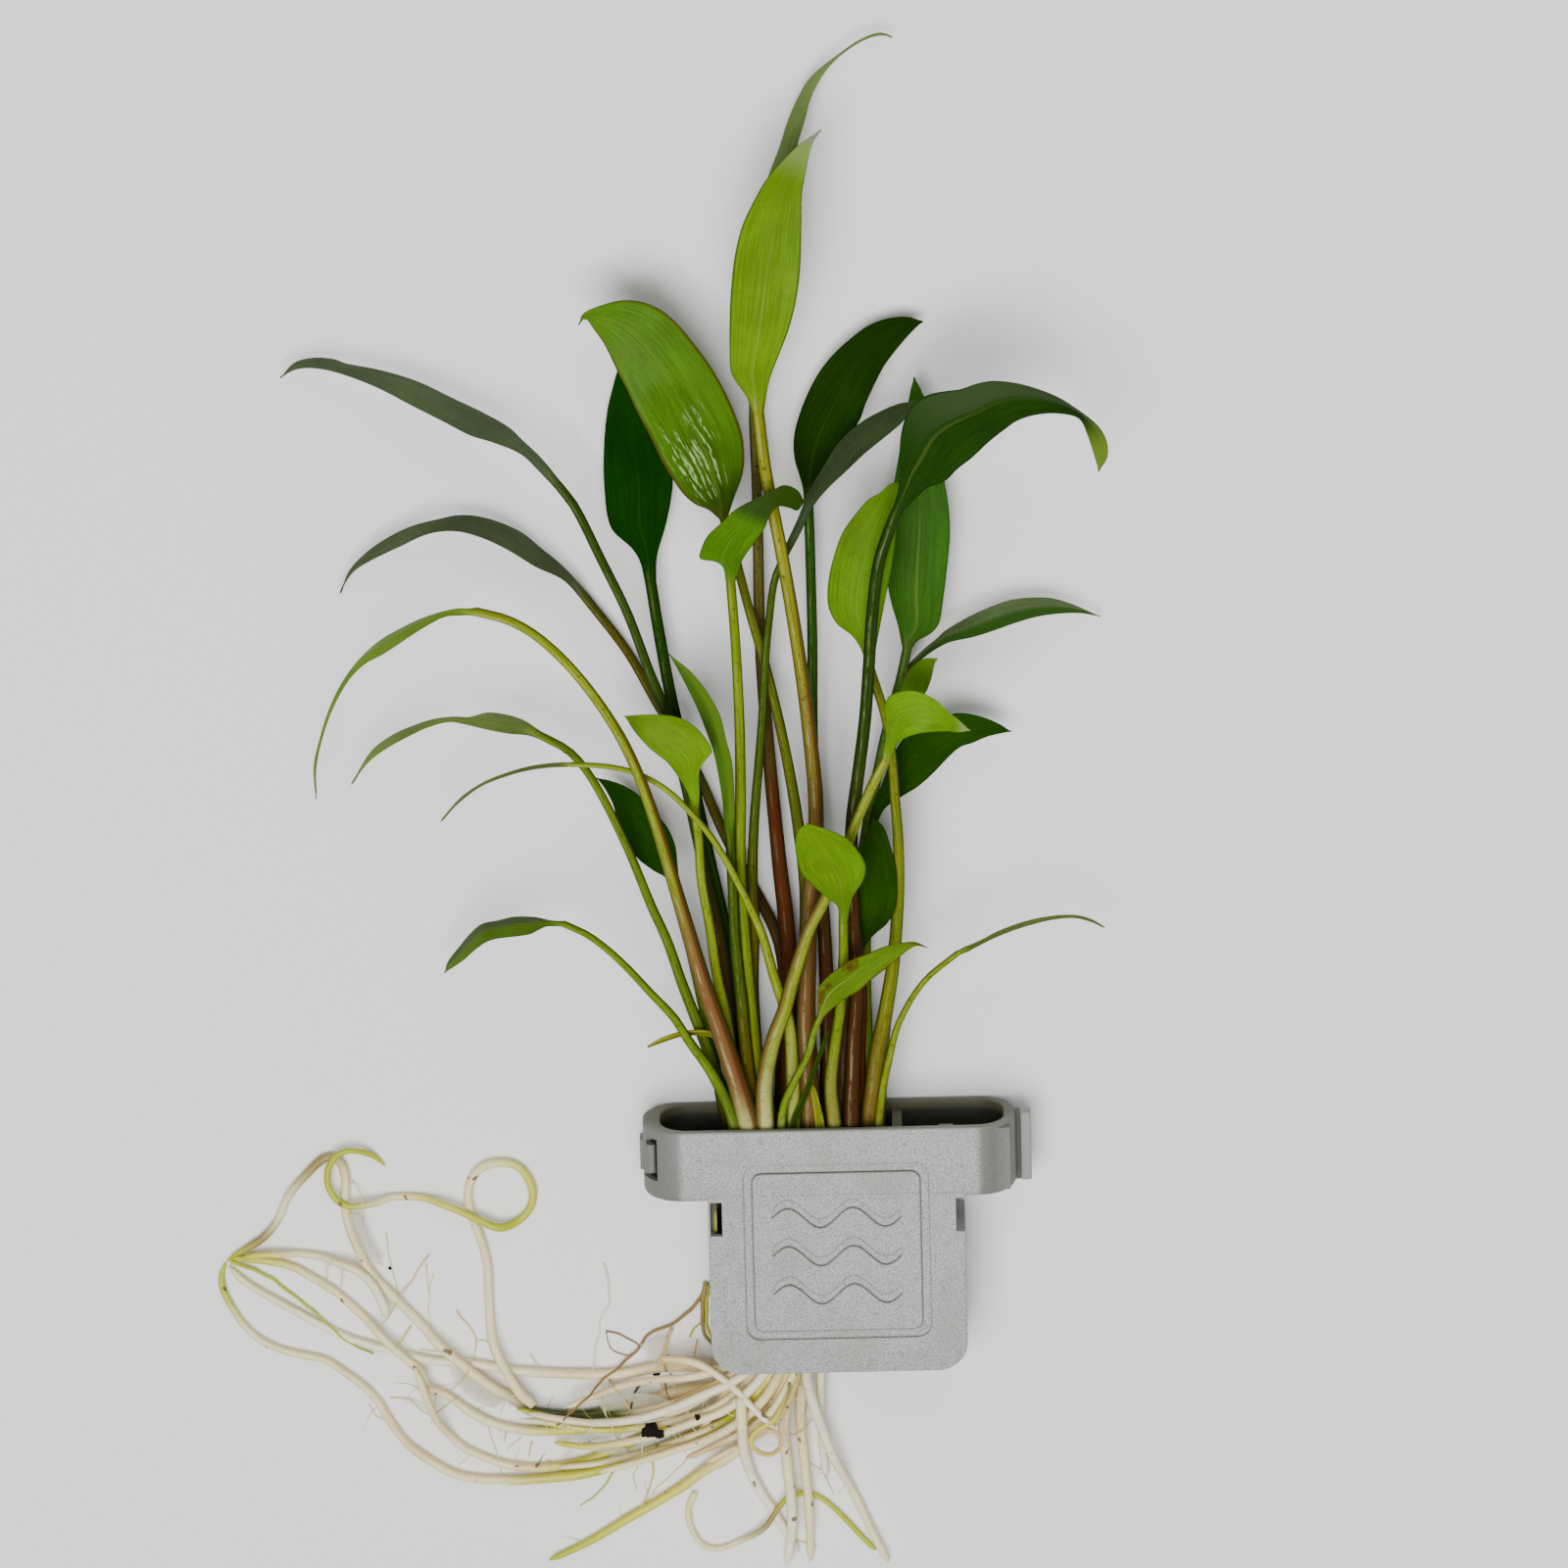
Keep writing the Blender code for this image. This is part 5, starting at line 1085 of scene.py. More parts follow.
grow_leaf("leaf_25",
          [(4.1, -4.5), (4.5, 10), (5, 21.5), (4.2, 28.5)],
          [(3, 31), (3.3, 35), (3.6, 40), (4.5, 47), (5.5, 52), (7, 55.3)],
          [(5.5, 30.5), (7, 32.5), (9.5, 34.8), (11, 38), (11.3, 42), (11, 46), (10, 50),
           (8.8, 53.5), (7, 55.3)],
          (8, 14, 16, 14), (0.6, 0.6), (3.4, 1.5),
          leaf_skin("leaf_25_skin", (0.014, 0.051, 0.001), (0.11, 0.03, 0.01), DARK_FOOT,
                    ribs=0.05, shine=0.6, lustre=0.0), seed=25)
grow_leaf("leaf_26",
          [(-10, -4.5), (-9.5, -0.5), (-7.7, 4), (-5.2, 9), (-3.9, 14), (-2.7, 17)],
          [(-3.3, 20), (-3.3, 22), (-2, 24), (0, 25.8), (3, 27.8), (6, 29), (9, 30.3),
           (12, 31), (14.5, 31.2), (17, 30)],
          [(-0.5, 18.3), (2, 20.3), (4.5, 21.8), (6.5, 23.8), (9, 25.8), (11.5, 28),
           (13.5, 29.7), (15, 30.4), (17, 30)],
          (13.3, 23, 28, 29), (-2.0, 2.0), (2, 1.3),
          leaf_skin("leaf_26_skin", (0.10, 0.19, 0.006), (0.16, 0.24, 0.012), (0.40, 0.44, 0.14),
                    tip=(0.13, 0.075, 0.01), tip_start=0.82, brown=0.9, spots=0.9, ribs=0.6,
                    point=(0.05, 0.022, 0.007)), seed=26)
grow_leaf("leaf_27",
          [(7.9, -4.5), (8.6, 2.5), (9.7, 8), (11.6, 15.5), (16.2, 23.5), (22.4, 29)],
          [(26, 31.2), (30, 33.4), (35, 35.3), (40, 36.3), (44, 36.4), (47, 35.6),
           (49.3, 34)],
          [(26, 30.3), (30, 32.3), (35, 34.2), (40, 35.5), (44, 35.8), (47, 35),
           (49.3, 34)],
          (13.3, 17, 15, 8), (-1.8, 1.8), (2, 1.1),
          leaf_skin("leaf_27_skin", (0.13, 0.19, 0.02), (0.19, 0.25, 0.01), (0.14, 0.10, 0.02)),
          ruffle=0.1, seed=27)


# Bladeless shoots: a stalk whose blade was cut off, a young leaf still rolled up, and a sheath.
# Each is a tapering tube of soft green plant flesh that grows out of the crown.
TUBE_SIDES = 14
SHOOT_ROWS = 40
SHOOT_END_ROWS = 3


def tube(name, line, radii, sides=TUBE_SIDES):
    """Roll a grid into a tube along the points and close its ends."""
    deselect()
    bpy.ops.mesh.primitive_grid_add(x_subdivisions=sides, y_subdivisions=len(line) - 1, size=1.0)
    piece = bpy.context.object
    piece.name = name
    trait = piece.data.attributes.new("leaf", "FLOAT_VECTOR", "POINT")
    side = Vector((0.0, 0.0, 1.0))
    for j, (centre, radius) in enumerate(zip(line, radii)):
        ahead = (line[min(j + 1, len(line) - 1)] - line[max(j - 1, 0)]).normalized()
        up = ahead.cross(side).normalized()
        side = up.cross(ahead).normalized()
        for k in range(sides + 1):
            angle = 2 * math.pi * k / sides
            index = j * (sides + 1) + k
            spoke = side * math.cos(angle) + up * math.sin(angle)
            piece.data.vertices[index].co = (centre + spoke * radius) * MM
            trait.data[index].vector = (math.cos(angle), j / (len(line) - 1) - 1,
                                        math.sin(angle))
    close_up()
    return piece


for shoot_name, route, shoot_heights, thick, shoot_colour, foot_colour in (
        ("stalk_stub", [(-17.1, -4.5), (-18.4, 4.5), (-20, 10.5), (-22.5, 13.2), (-27.4, 13.5),
                        (-31.5, 12.3), (-34.6, 10.8)], (10.4, 15), (1.5, 1.0),
         (0.36, 0.36, 0.03), (0.09, 0.05, 0.008)),
        ("young_shoot", [(-7.8, -4.5), (-5.4, 2), (-3.2, 8.5), (-1.3, 14)], (13.3, 18),
         (1.6, 0.7), (0.05, 0.11, 0.006), (0.28, 0.34, 0.04)),
        ("sheath", [(-2.9, -4.5), (-3.5, -0.5), (-4.3, 3.4)], (13.2, 13.2), (2.6, 1.0),
         (0.45, 0.50, 0.03), (0.40, 0.42, 0.06))):
    flat = [Vector((x, y, 0.0)) for x, y in route]
    walked = distances(flat)
    line = [Vector((route[0][0], STALK_START, shoot_heights[0])) + MOUTH]
    line += [seen(p.x, p.y, mixed(*shoot_heights, w / walked[-1])) for p, w in zip(flat, walked)]
    line = shared_out(smooth(line), SHOOT_ROWS)
    radii = []
    for i in range(SHOOT_ROWS):
        past = i - (SHOOT_ROWS - SHOOT_END_ROWS)
        blunt = 1 if past < 0 else 0.85 - 0.2 * past
        radii.append(mixed(thick[0], thick[1], i / (SHOOT_ROWS - 1)) / 2 * blunt)
    shoot = tube(f"{shoot_name}_skin", line, radii)
    shoot.data.materials.append(leaf_skin(f"{shoot_name}_green", shoot_colour, shoot_colour,
                                          foot_colour))
    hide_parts(shoot_name)
    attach(shoot, "root")


# Roots: smooth pale water roots, translucent and a little green or brown in places. They leave the
# open bottom of the pot, come down to the table, cross over one another and meet at their tips.
ROOT_CLIMB = 0.55
ROOT_PLATEAU = 5.2
ROOT_DESCENT = 26.0
ROOT_CLEARANCE = 0.55
ROOT_THICKEST = 3.0
ROOT_PLUMP = 1.2
ROOT_SPACE = 1.0
MIDDLE_ALONG = -60.0
CROWN_FOOT = -19.3
HUB = seen(-111.6, -30.6, 0.6)
HUB_REACH = 4.5
CREAM = (0.90, 0.81, 0.47)
WHITE = (0.94, 0.90, 0.70)
TAN = (0.74, 0.56, 0.25)
LIME = (0.47, 0.53, 0.015)
YELLOW = (0.66, 0.64, 0.08)
KHAKI = (0.30, 0.24, 0.07)
MOSS = (0.055, 0.085, 0.006)
BROWN = (0.27, 0.17, 0.035)


def tinted(stops, share):
    """Read the colour at a share of the length between stops of (share, colour)."""
    for (start, first), (end, second) in zip(stops, stops[1:]):
        if share <= end:
            t = eased((share - start) / max(end - start, 1e-6))
            return Vector(first).lerp(Vector(second), t)
    return Vector(stops[-1][1])


root_flesh = Finish("root_flesh")
spot = root_flesh.place()
tint = root_flesh.add("ShaderNodeAttribute", {"attribute_name": "tint"}, output=1)
around = root_flesh.trait("leaf", 0)
along = root_flesh.trait("leaf", 1)
sideways = root_flesh.trait("leaf", 2)
threads = root_flesh.cloud(root_flesh.join(around * 2.5, sideways * 2.5, along * 70.0), 1.0, 4.0,
                           0.6)
broad = root_flesh.cloud(spot, 60.0, 3.0)
dimmer = root_flesh.add("ShaderNodeVectorMath", {"operation": "MULTIPLY"}, i0=tint,
                        i1=(0.72, 0.62, 0.45))
flesh = root_flesh.blend(dimmer, tint, root_flesh.ramp(threads * 0.5 + broad * 0.5, 0.26, 0.54))
# Painted shade: each root darkens towards its sides.
side_shade = root_flesh.ramp(abs(sideways), 0.45, 1.0)
flesh = root_flesh.blend(flesh, dimmer, side_shade * 0.6)
pores = root_flesh.ramp(root_flesh.cloud(spot, 460.0, 1.0), 0.72, 0.76)
flesh = root_flesh.blend(flesh, (0.10, 0.05, 0.02), pores * 0.85)
root_flesh.paint(base_color=flesh, roughness=threads * 0.15 + 0.3, specular_ior_level=0.35,
                 normal=root_flesh.relief(threads + pores * -1.5, 0.4, 0.00015),
                 subsurface_weight=0.3, subsurface_radius=(1.0, 0.75, 0.35),
                 subsurface_scale=0.0008)
laid = []


def search_tree(entries):
    """Sort the places of laid roots by where they lie on the table, for a quick search."""
    tree = KDTree(len(entries))
    for index, (spot, _) in enumerate(entries):
        tree.insert((spot.x, spot.y, 0.0), index)
    tree.balance()
    return tree


def settle(line, travelled, radii):
    """Raise a root where it crosses those already laid, or itself, with even ramps."""
    others = laid + list(zip(line, radii))
    tree = search_tree(others)
    widest = radii[0] + ROOT_THICKEST / 2 + ROOT_CLEARANCE
    resting = [spot.z for spot in line]
    holds = {}
    for _ in range(30):
        raised = False
        for i, spot in enumerate(line):
            if (spot - HUB).length < HUB_REACH:
                continue
            need = spot.z
            near = tree.find_range((spot.x, spot.y, 0.0), widest)
            for _, index, apart in sorted(near, key=lambda found: others[found[1]][0].z):
                own = index - len(laid)
                if own >= 0 and travelled[i] - travelled[own] < 8 * radii[i] + 4:
                    continue
                other, other_radius = others[index]
                reach = radii[i] + other_radius + ROOT_CLEARANCE
                if apart < reach and abs(need - other.z) < math.sqrt(reach ** 2 - apart ** 2):
                    need = other.z + math.sqrt(reach ** 2 - apart ** 2) + 0.01
            if need > spot.z:
                holds[i] = need
                raised = True
        for i, spot in enumerate(line):
            spot.z = max([resting[i]] + [
                need - ROOT_CLIMB * max(abs(travelled[i] - travelled[k]) - ROOT_PLATEAU, 0)
                for k, need in holds.items()])
        if not raised:
            break


def colour_root(root, stops):
    """Write the root's colours on its mesh, ring by ring, and give it its flesh."""
    tints = root.data.attributes.new("tint", "FLOAT_VECTOR", "POINT")
    course = root.data.attributes["leaf"]
    for index in range(len(root.data.vertices)):
        tints.data[index].vector = tinted(stops, course.data[index].vector.y + 1)
    root.data.materials.append(root_flesh.material)


def lay_root(name, route, thick, stops, crown_place=None, node=True, plump=ROOT_PLUMP,
             rise=(0.0, 0.0)):
    """Lay one root on the table along its route, from the crown or from another root.

    A root that replaces no node keeps its place in the picture when it is raised. thick and rise
    hold its thickness and its extra height at both ends, and plump thickens it along its length.
    """
    start_radius, end_radius = thick[0] / 2, thick[1] / 2
    flat = [Vector((x, y, 0.0)) for x, y in route]
    walked = distances(flat)
    points = []
    if crown_place:
        x, height = crown_place
        points.append(Vector((x, CROWN_FOOT, height)) + MOUTH)
        points.append(Vector((mixed(x, route[0][0], 0.4), -35.0, height)) + MOUTH)
    for spot, reached in zip(flat, walked):
        height = mixed(start_radius, end_radius, reached / walked[-1])
        height += mixed(*rise, reached / walked[-1])
        if crown_place:
            height = mixed(height, crown_place[1], eased(1 - reached / ROOT_DESCENT))
        points.append(seen(spot.x, spot.y, height))
    line = smooth(points)
    travelled = distances(line)
    radii = [mixed(start_radius, end_radius, d / travelled[-1]) for d in travelled]
    for spot, radius in zip(line, radii):
        spot.z = max(spot.z, radius)
    for _ in range(1 if node else 2):
        rested = [spot.z for spot in line]
        settle(line, travelled, radii)
        for spot, radius, rest in zip(line, radii, rested):
            ceiling = POT_DEPTH - POT_WALL - radius * ROOT_PLUMP - 0.5
            spot.z = min(spot.z, ceiling + max(BODY_FOOT - spot.y, 0.0) * 0.3)
            if not node:
                spot.xy += (seen(0.0, MIDDLE_ALONG, spot.z) - seen(0.0, MIDDLE_ALONG, rest)).xy
    laid.extend(zip(line, radii))
    count = max(12, round(distances(line)[-1] / ROOT_SPACE))
    places = shared_out(line, count)
    thicknesses = []
    for i, spot in enumerate(places):
        share = i / (count - 1)
        lump = 1 + 0.10 * noise.noise(spot * 0.16) + 0.05 * noise.noise(spot * 0.6)
        point = 1.0 if share < 0.97 else 1 - ((share - 0.97) / 0.03) ** 2 * 0.7
        thicknesses.append(mixed(start_radius, end_radius, share) * lump * point * plump)
        spot.z = max(spot.z, thicknesses[-1] + 0.02)
    root = tube(f"{name}_flesh", places, thicknesses)
    colour_root(root, stops)
    if node:
        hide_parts(name)
    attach(root, "root")
    return root


lay_root("root_01",
         [(-18.5, -50), (-22, -51.5), (-27, -51), (-32.6, -51.3), (-38.5, -52.4), (-45.5, -52.6),
          (-58, -52), (-67, -50.5), (-74, -50), (-81, -48.3), (-85.3, -47), (-90, -45.4),
          (-94.7, -43), (-99, -40.5), (-104, -37.6), (-108.4, -34.8), (-111.5, -31.8)],
         (2.0, 1.2), ((0, TAN), (0.26, TAN), (0.36, CREAM), (0.8, WHITE), (1, CREAM)),
         (-18, 3.8))
lay_root("root_02",
         [(-16, -50), (-21, -53.5), (-27.5, -55.5), (-36.5, -58.3), (-45.5, -60.4),
          (-54.7, -60), (-59.8, -57), (-64.3, -53.6), (-69, -49.8), (-73.4, -45.8),
          (-77.6, -41.4), (-81.7, -37), (-85.3, -33), (-87.7, -28.3), (-89.5, -23.6),
          (-90.2, -19), (-90, -15), (-91, -11.5), (-93.5, -10.5), (-97.7, -14.4),
          (-100.6, -18.2), (-102.4, -22.6), (-105, -26), (-108.5, -28.4), (-111.2, -30)],
         (2.2, 1.2), ((0, TAN), (0.24, TAN), (0.32, CREAM), (0.38, MOSS), (0.43, MOSS),
                      (0.5, CREAM), (0.79, CREAM), (0.85, KHAKI), (0.92, CREAM), (0.96, KHAKI),
                      (1, LIME)), (-15, 3.8))
lay_root("root_03",
         [(-17, -50), (-21, -54), (-27.5, -57.4), (-36.5, -60.5), (-45.5, -63), (-51, -63.5),
          (-57, -63.5), (-62.5, -62.3), (-67, -60), (-71, -57), (-75, -54.5), (-76, -51.7),
          (-78, -49.8), (-81.7, -46.4), (-85, -43), (-88.2, -40), (-91.8, -36.7),
          (-95.6, -34.2), (-100, -31.7), (-104.8, -30.6), (-109.5, -30.2), (-111.8, -30.6)],
         (2.0, 1.2), ((0, TAN), (0.25, CREAM), (0.36, CREAM), (0.42, LIME), (0.48, YELLOW), (0.55, CREAM),
                      (0.88, CREAM), (0.95, YELLOW), (1, LIME)), (-18, 7.4))
lay_root("root_04",
         [(-14.5, -50), (-18, -56.5), (-22, -59.3), (-29.3, -62.7), (-36.2, -65.2),
          (-45.5, -69.2), (-53.3, -70.7), (-59.8, -70.3), (-64.8, -68.6), (-69, -66.3),
          (-72.2, -62.3), (-74.3, -58), (-76, -53.2), (-77.2, -50)],
         (1.9, 1.2), ((0, TAN), (0.36, TAN), (0.5, LIME), (0.62, YELLOW), (0.75, CREAM),
                      (1, CREAM)), (-15, 7.4))
lay_root("root_05",
         [(-12.5, -50), (-15.5, -57), (-20, -61.5), (-27.5, -65), (-36.5, -69), (-45.5, -71.5),
          (-53.3, -72.5), (-59, -73), (-65, -73), (-70, -72), (-74.3, -69.5), (-78.5, -66.3),
          (-81.7, -62), (-84, -58), (-86.4, -55.3), (-90, -52.4), (-93.6, -50), (-97.4, -49),
          (-101.5, -48), (-105, -46.4), (-108.4, -43.5), (-110.7, -40), (-112.4, -36.5),
          (-112.8, -33.6), (-112, -31)],
         (2.1, 1.1), ((0, TAN), (0.26, TAN), (0.34, YELLOW), (0.42, LIME), (0.5, YELLOW), (0.57, CREAM),
                      (0.9, CREAM), (0.97, LIME), (1, LIME)), (-12, 3.8))
lay_root("root_06",
         [(-82.5, -40.5), (-83.2, -38.2), (-85.3, -34.2), (-88.2, -31.7), (-91.8, -30.4),
          (-96.8, -29.4), (-101.5, -29), (-105.5, -29), (-109, -29.6)],
         (1.5, 1.0), ((0, WHITE), (0.7, CREAM), (0.9, YELLOW), (1, LIME)))
lay_root("root_07",
         [(-55.5, -58), (-58, -55.5), (-60.7, -51), (-63, -45.4), (-63.7, -37), (-63.9, -31.7),
          (-65.2, -26.4), (-66.8, -22), (-67.5, -17.3), (-66, -13.3), (-62.5, -11.6),
          (-58.3, -12.4), (-55.8, -16.3), (-56, -20), (-58.3, -22.8), (-61.6, -23.6),
          (-65.7, -22), (-69.8, -20), (-74.3, -18.6), (-80.8, -18.2), (-85.5, -19),
          (-89.5, -19.4), (-91.8, -18), (-93.2, -15.4), (-93.2, -12.4), (-91.8, -9.7),
          (-89, -8.6), (-85.9, -9.5), (-82.8, -12.2)],
         (1.7, 0.9), ((0, CREAM), (0.4, CREAM), (0.47, YELLOW), (0.58, LIME), (0.68, YELLOW),
                      (0.76, CREAM), (0.82, LIME), (0.9, LIME), (1, LIME)))
lay_root("root_08",
         [(-9.5, -52), (-14, -59), (-16.8, -65), (-16.4, -69.5), (-14.2, -74.5),
          (-11.3, -79.2), (-8.6, -84.2), (-6.8, -87)],
         (1.7, 1.0), ((0, CREAM), (0.5, WHITE), (1, WHITE)), (-8.6, 3.8), plump=1.7)
lay_root("root_09",
         [(-25.8, -75.5), (-27, -78.5), (-26.8, -81.7), (-24.7, -85.5), (-22, -86.5),
          (-18.7, -85.5), (-15.5, -83.6), (-12.8, -81.5), (-11, -78.7), (-8.6, -75.8),
          (-6.3, -75.4), (-4, -76), (-1.3, -77.7), (2, -81), (5.2, -84.6), (7.4, -86.8)],
         (1.0, 0.8), ((0, CREAM), (0.3, CREAM), (0.5, KHAKI), (0.62, LIME), (1, LIME)))
lay_root("root_10",
         [(-11, -52), (-13, -60), (-16.4, -65.7), (-22.5, -69.8), (-27, -73.5), (-32.6, -77.3),
          (-38.5, -80.8), (-44.5, -84.6), (-49, -87), (-52.6, -88.7)],
         (2.9, 1.1), ((0, TAN), (0.3, TAN), (0.5, CREAM), (0.72, YELLOW), (1, LIME)),
         (-12, 8.2))
lay_root("root_11",
         [(-9, -52), (-9.5, -60), (-9.3, -66), (-8.6, -72), (-8, -78.3), (-8.2, -84), (-9, -88.9)],
         (2.3, 1.3), ((0, CREAM), (0.6, CREAM), (1, WHITE)), (-8.3, 7.4), plump=1.35)
lay_root("root_12",
         [(-6, -52), (-6.5, -60), (-6, -67), (-5.2, -74), (-4.8, -80), (-4.6, -88.9)],
         (2.2, 1.3), ((0, TAN), (0.4, CREAM), (1, CREAM)), (-5.6, 3.8))
lay_root("root_13",
         [(-2.7, -52), (-2.8, -58), (-2.6, -64), (-2.2, -69), (-1.6, -72.5)],
         (2.0, 1.1), ((0, CREAM), (1, WHITE)), (-2.4, 3.8))
lay_root("root_14",
         [(-5.5, -52), (-3.6, -60), (-1.4, -66), (1.2, -71.5), (4.2, -77.5), (7, -83.5),
          (9.7, -88.9)],
         (2.1, 1.2), ((0, CREAM), (0.5, WHITE), (1, CREAM)), (-5, 7.6))
lay_root("root_15",
         [(-16.5, -51), (-20, -56), (-22.5, -60), (-26, -66)],
         (1.8, 1.0), ((0, TAN), (0.6, TAN), (1, CREAM)), (-15, 11.4))
lay_root("root_16",
         [(-9.5, -51), (-12, -56), (-17, -61.5), (-23, -64.5)],
         (1.8, 1.0), ((0, TAN), (0.7, CREAM), (1, CREAM)), (-10, 12.2))


# Sheaf roots and rootlets: thinner roots that lie among the thick ones, and fine side roots that
# taper to a hair. Their routes are places in the photograph, which is 1600 pixels square.
PHOTO_MIDDLE = 853
PHOTO_MOUTH = 1123
PIXEL_ACROSS = 0.18
PIXEL_ALONG = 0.19
THREAD_SIDES = 7
THREAD_SPACE = 0.8


def from_photo(pixels):
    """Turn places in the photograph into places across and along from the mouth."""
    return [((px - PHOTO_MIDDLE) * PIXEL_ACROSS, (PHOTO_MOUTH - py) * PIXEL_ALONG)
            for px, py in pixels]


def join_up(pieces, name):
    """Join pieces into one of this name and leave it active."""
    deselect()
    for piece in pieces:
        piece.select_set(True)
    bpy.context.view_layer.objects.active = pieces[0]
    bpy.ops.object.join()
    bpy.context.object.name = name


strands = []
for sheaf_name, pixels, thick, stops, crown_place, rise in (
        ("sheaf_a", ((762, 1388), (742, 1404), (718, 1416), (692, 1428), (660, 1437),
                     (625, 1441), (590, 1443), (556, 1441), (528, 1436)), (1.5, 0.8),
         ((0, TAN), (0.55, TAN), (0.66, CREAM), (0.76, MOSS), (0.9, MOSS), (1, LIME)), (-14, 10.6), (0, 0)),
        ("sheaf_b", ((776, 1388), (756, 1414), (730, 1434), (700, 1445), (668, 1452),
                     (632, 1457), (596, 1456), (562, 1450), (536, 1446)), (1.6, 0.9),
         ((0, TAN), (0.35, CREAM), (0.6, CREAM), (0.8, YELLOW), (1, CREAM)), (-12, 10.2), (0, 0)),
        ("sheaf_c", ((792, 1388), (772, 1420), (746, 1444), (714, 1460), (678, 1473),
                     (640, 1484), (604, 1492), (570, 1495)), (1.7, 0.9),
         ((0, TAN), (0.3, CREAM), (0.45, YELLOW), (0.55, LIME), (0.68, CREAM), (1, CREAM)),
         (-10, 10), (0, 0)),
        ("sheaf_d", ((806, 1388), (792, 1424), (766, 1448), (734, 1462), (702, 1470),
                     (664, 1481), (630, 1496)), (1.6, 0.9),
         ((0, TAN), (0.4, TAN), (0.8, CREAM), (1, YELLOW)), (-8, 10.4), (0, 0)),
        ("sheaf_e", ((815, 1392), (808, 1420), (796, 1444), (776, 1462), (748, 1476),
                     (722, 1490)), (1.4, 0.8),
         ((0, KHAKI), (0.4, YELLOW), (0.7, TAN), (1, CREAM)), (-7.4, 12), (0, 0)),
        ("sheaf_f", ((760, 1386), (738, 1396), (712, 1389), (690, 1385), (672, 1388)),
         (1.2, 0.8), ((0, TAN), (0.5, KHAKI), (1, CREAM)), (-17, 9.6), (0, 0)),
        ("sheaf_g", ((748, 1386), (726, 1398), (698, 1404), (668, 1406), (636, 1412),
                     (604, 1424), (578, 1434)), (1.7, 1.0),
         ((0, TAN), (0.3, CREAM), (1, CREAM)), (-16, 12), (0, 0)),
        ("sheaf_h", ((770, 1388), (748, 1408), (722, 1420), (690, 1434), (652, 1446),
                     (610, 1450), (572, 1446), (540, 1440)), (1.9, 1.0),
         ((0, TAN), (0.2, CREAM), (0.7, WHITE), (1, CREAM)), (-13, 12.4), (0, 0)),
        ("sheaf_i", ((784, 1390), (764, 1418), (738, 1438), (706, 1450), (672, 1462),
                     (636, 1470), (600, 1474), (566, 1470)), (2.0, 1.0),
         ((0, TAN), (0.25, WHITE), (0.7, CREAM), (1, YELLOW)), (-11, 12), (0, 0)),
        ("sheaf_j", ((798, 1390), (784, 1420), (758, 1446), (724, 1466), (688, 1478),
                     (650, 1490), (612, 1500)), (2.0, 1.1),
         ((0, CREAM), (0.3, TAN), (0.6, CREAM), (1, CREAM)), (-9, 12.2), (0, 0)),
        ("sheaf_k", ((812, 1390), (802, 1416), (786, 1440), (760, 1458), (728, 1474),
                     (700, 1486)), (1.8, 1.0), ((0, TAN), (0.5, CREAM), (1, TAN)), (-8, 12.8), (0, 0)),
        ("slant_root", ((676, 1384), (700, 1386), (718, 1392), (738, 1405), (755, 1420),
                        (770, 1436), (790, 1455)),
         (1.3, 1.0), ((0, TAN), (0.3, CREAM), (1, WHITE)), None, (9, 12)),
        ("over_root", ((756, 1424), (757, 1440), (758, 1458), (760, 1478), (767, 1500)),
         (1.7, 1.6), ((0, CREAM), (1, WHITE)), None, (14, 3)),
        ("ring_root", ((806, 1408), (798, 1432), (790, 1447), (773, 1458), (766, 1469),
                       (775, 1480), (788, 1482), (797, 1473), (795, 1462), (783, 1457),
                       (772, 1461)), (1.1, 0.6), ((0, KHAKI), (0.3, YELLOW), (1, TAN)), None,
         (13, 9))):
    strands.append(lay_root(sheaf_name, from_photo(pixels), thick, stops, crown_place, False,
                            rise=rise))

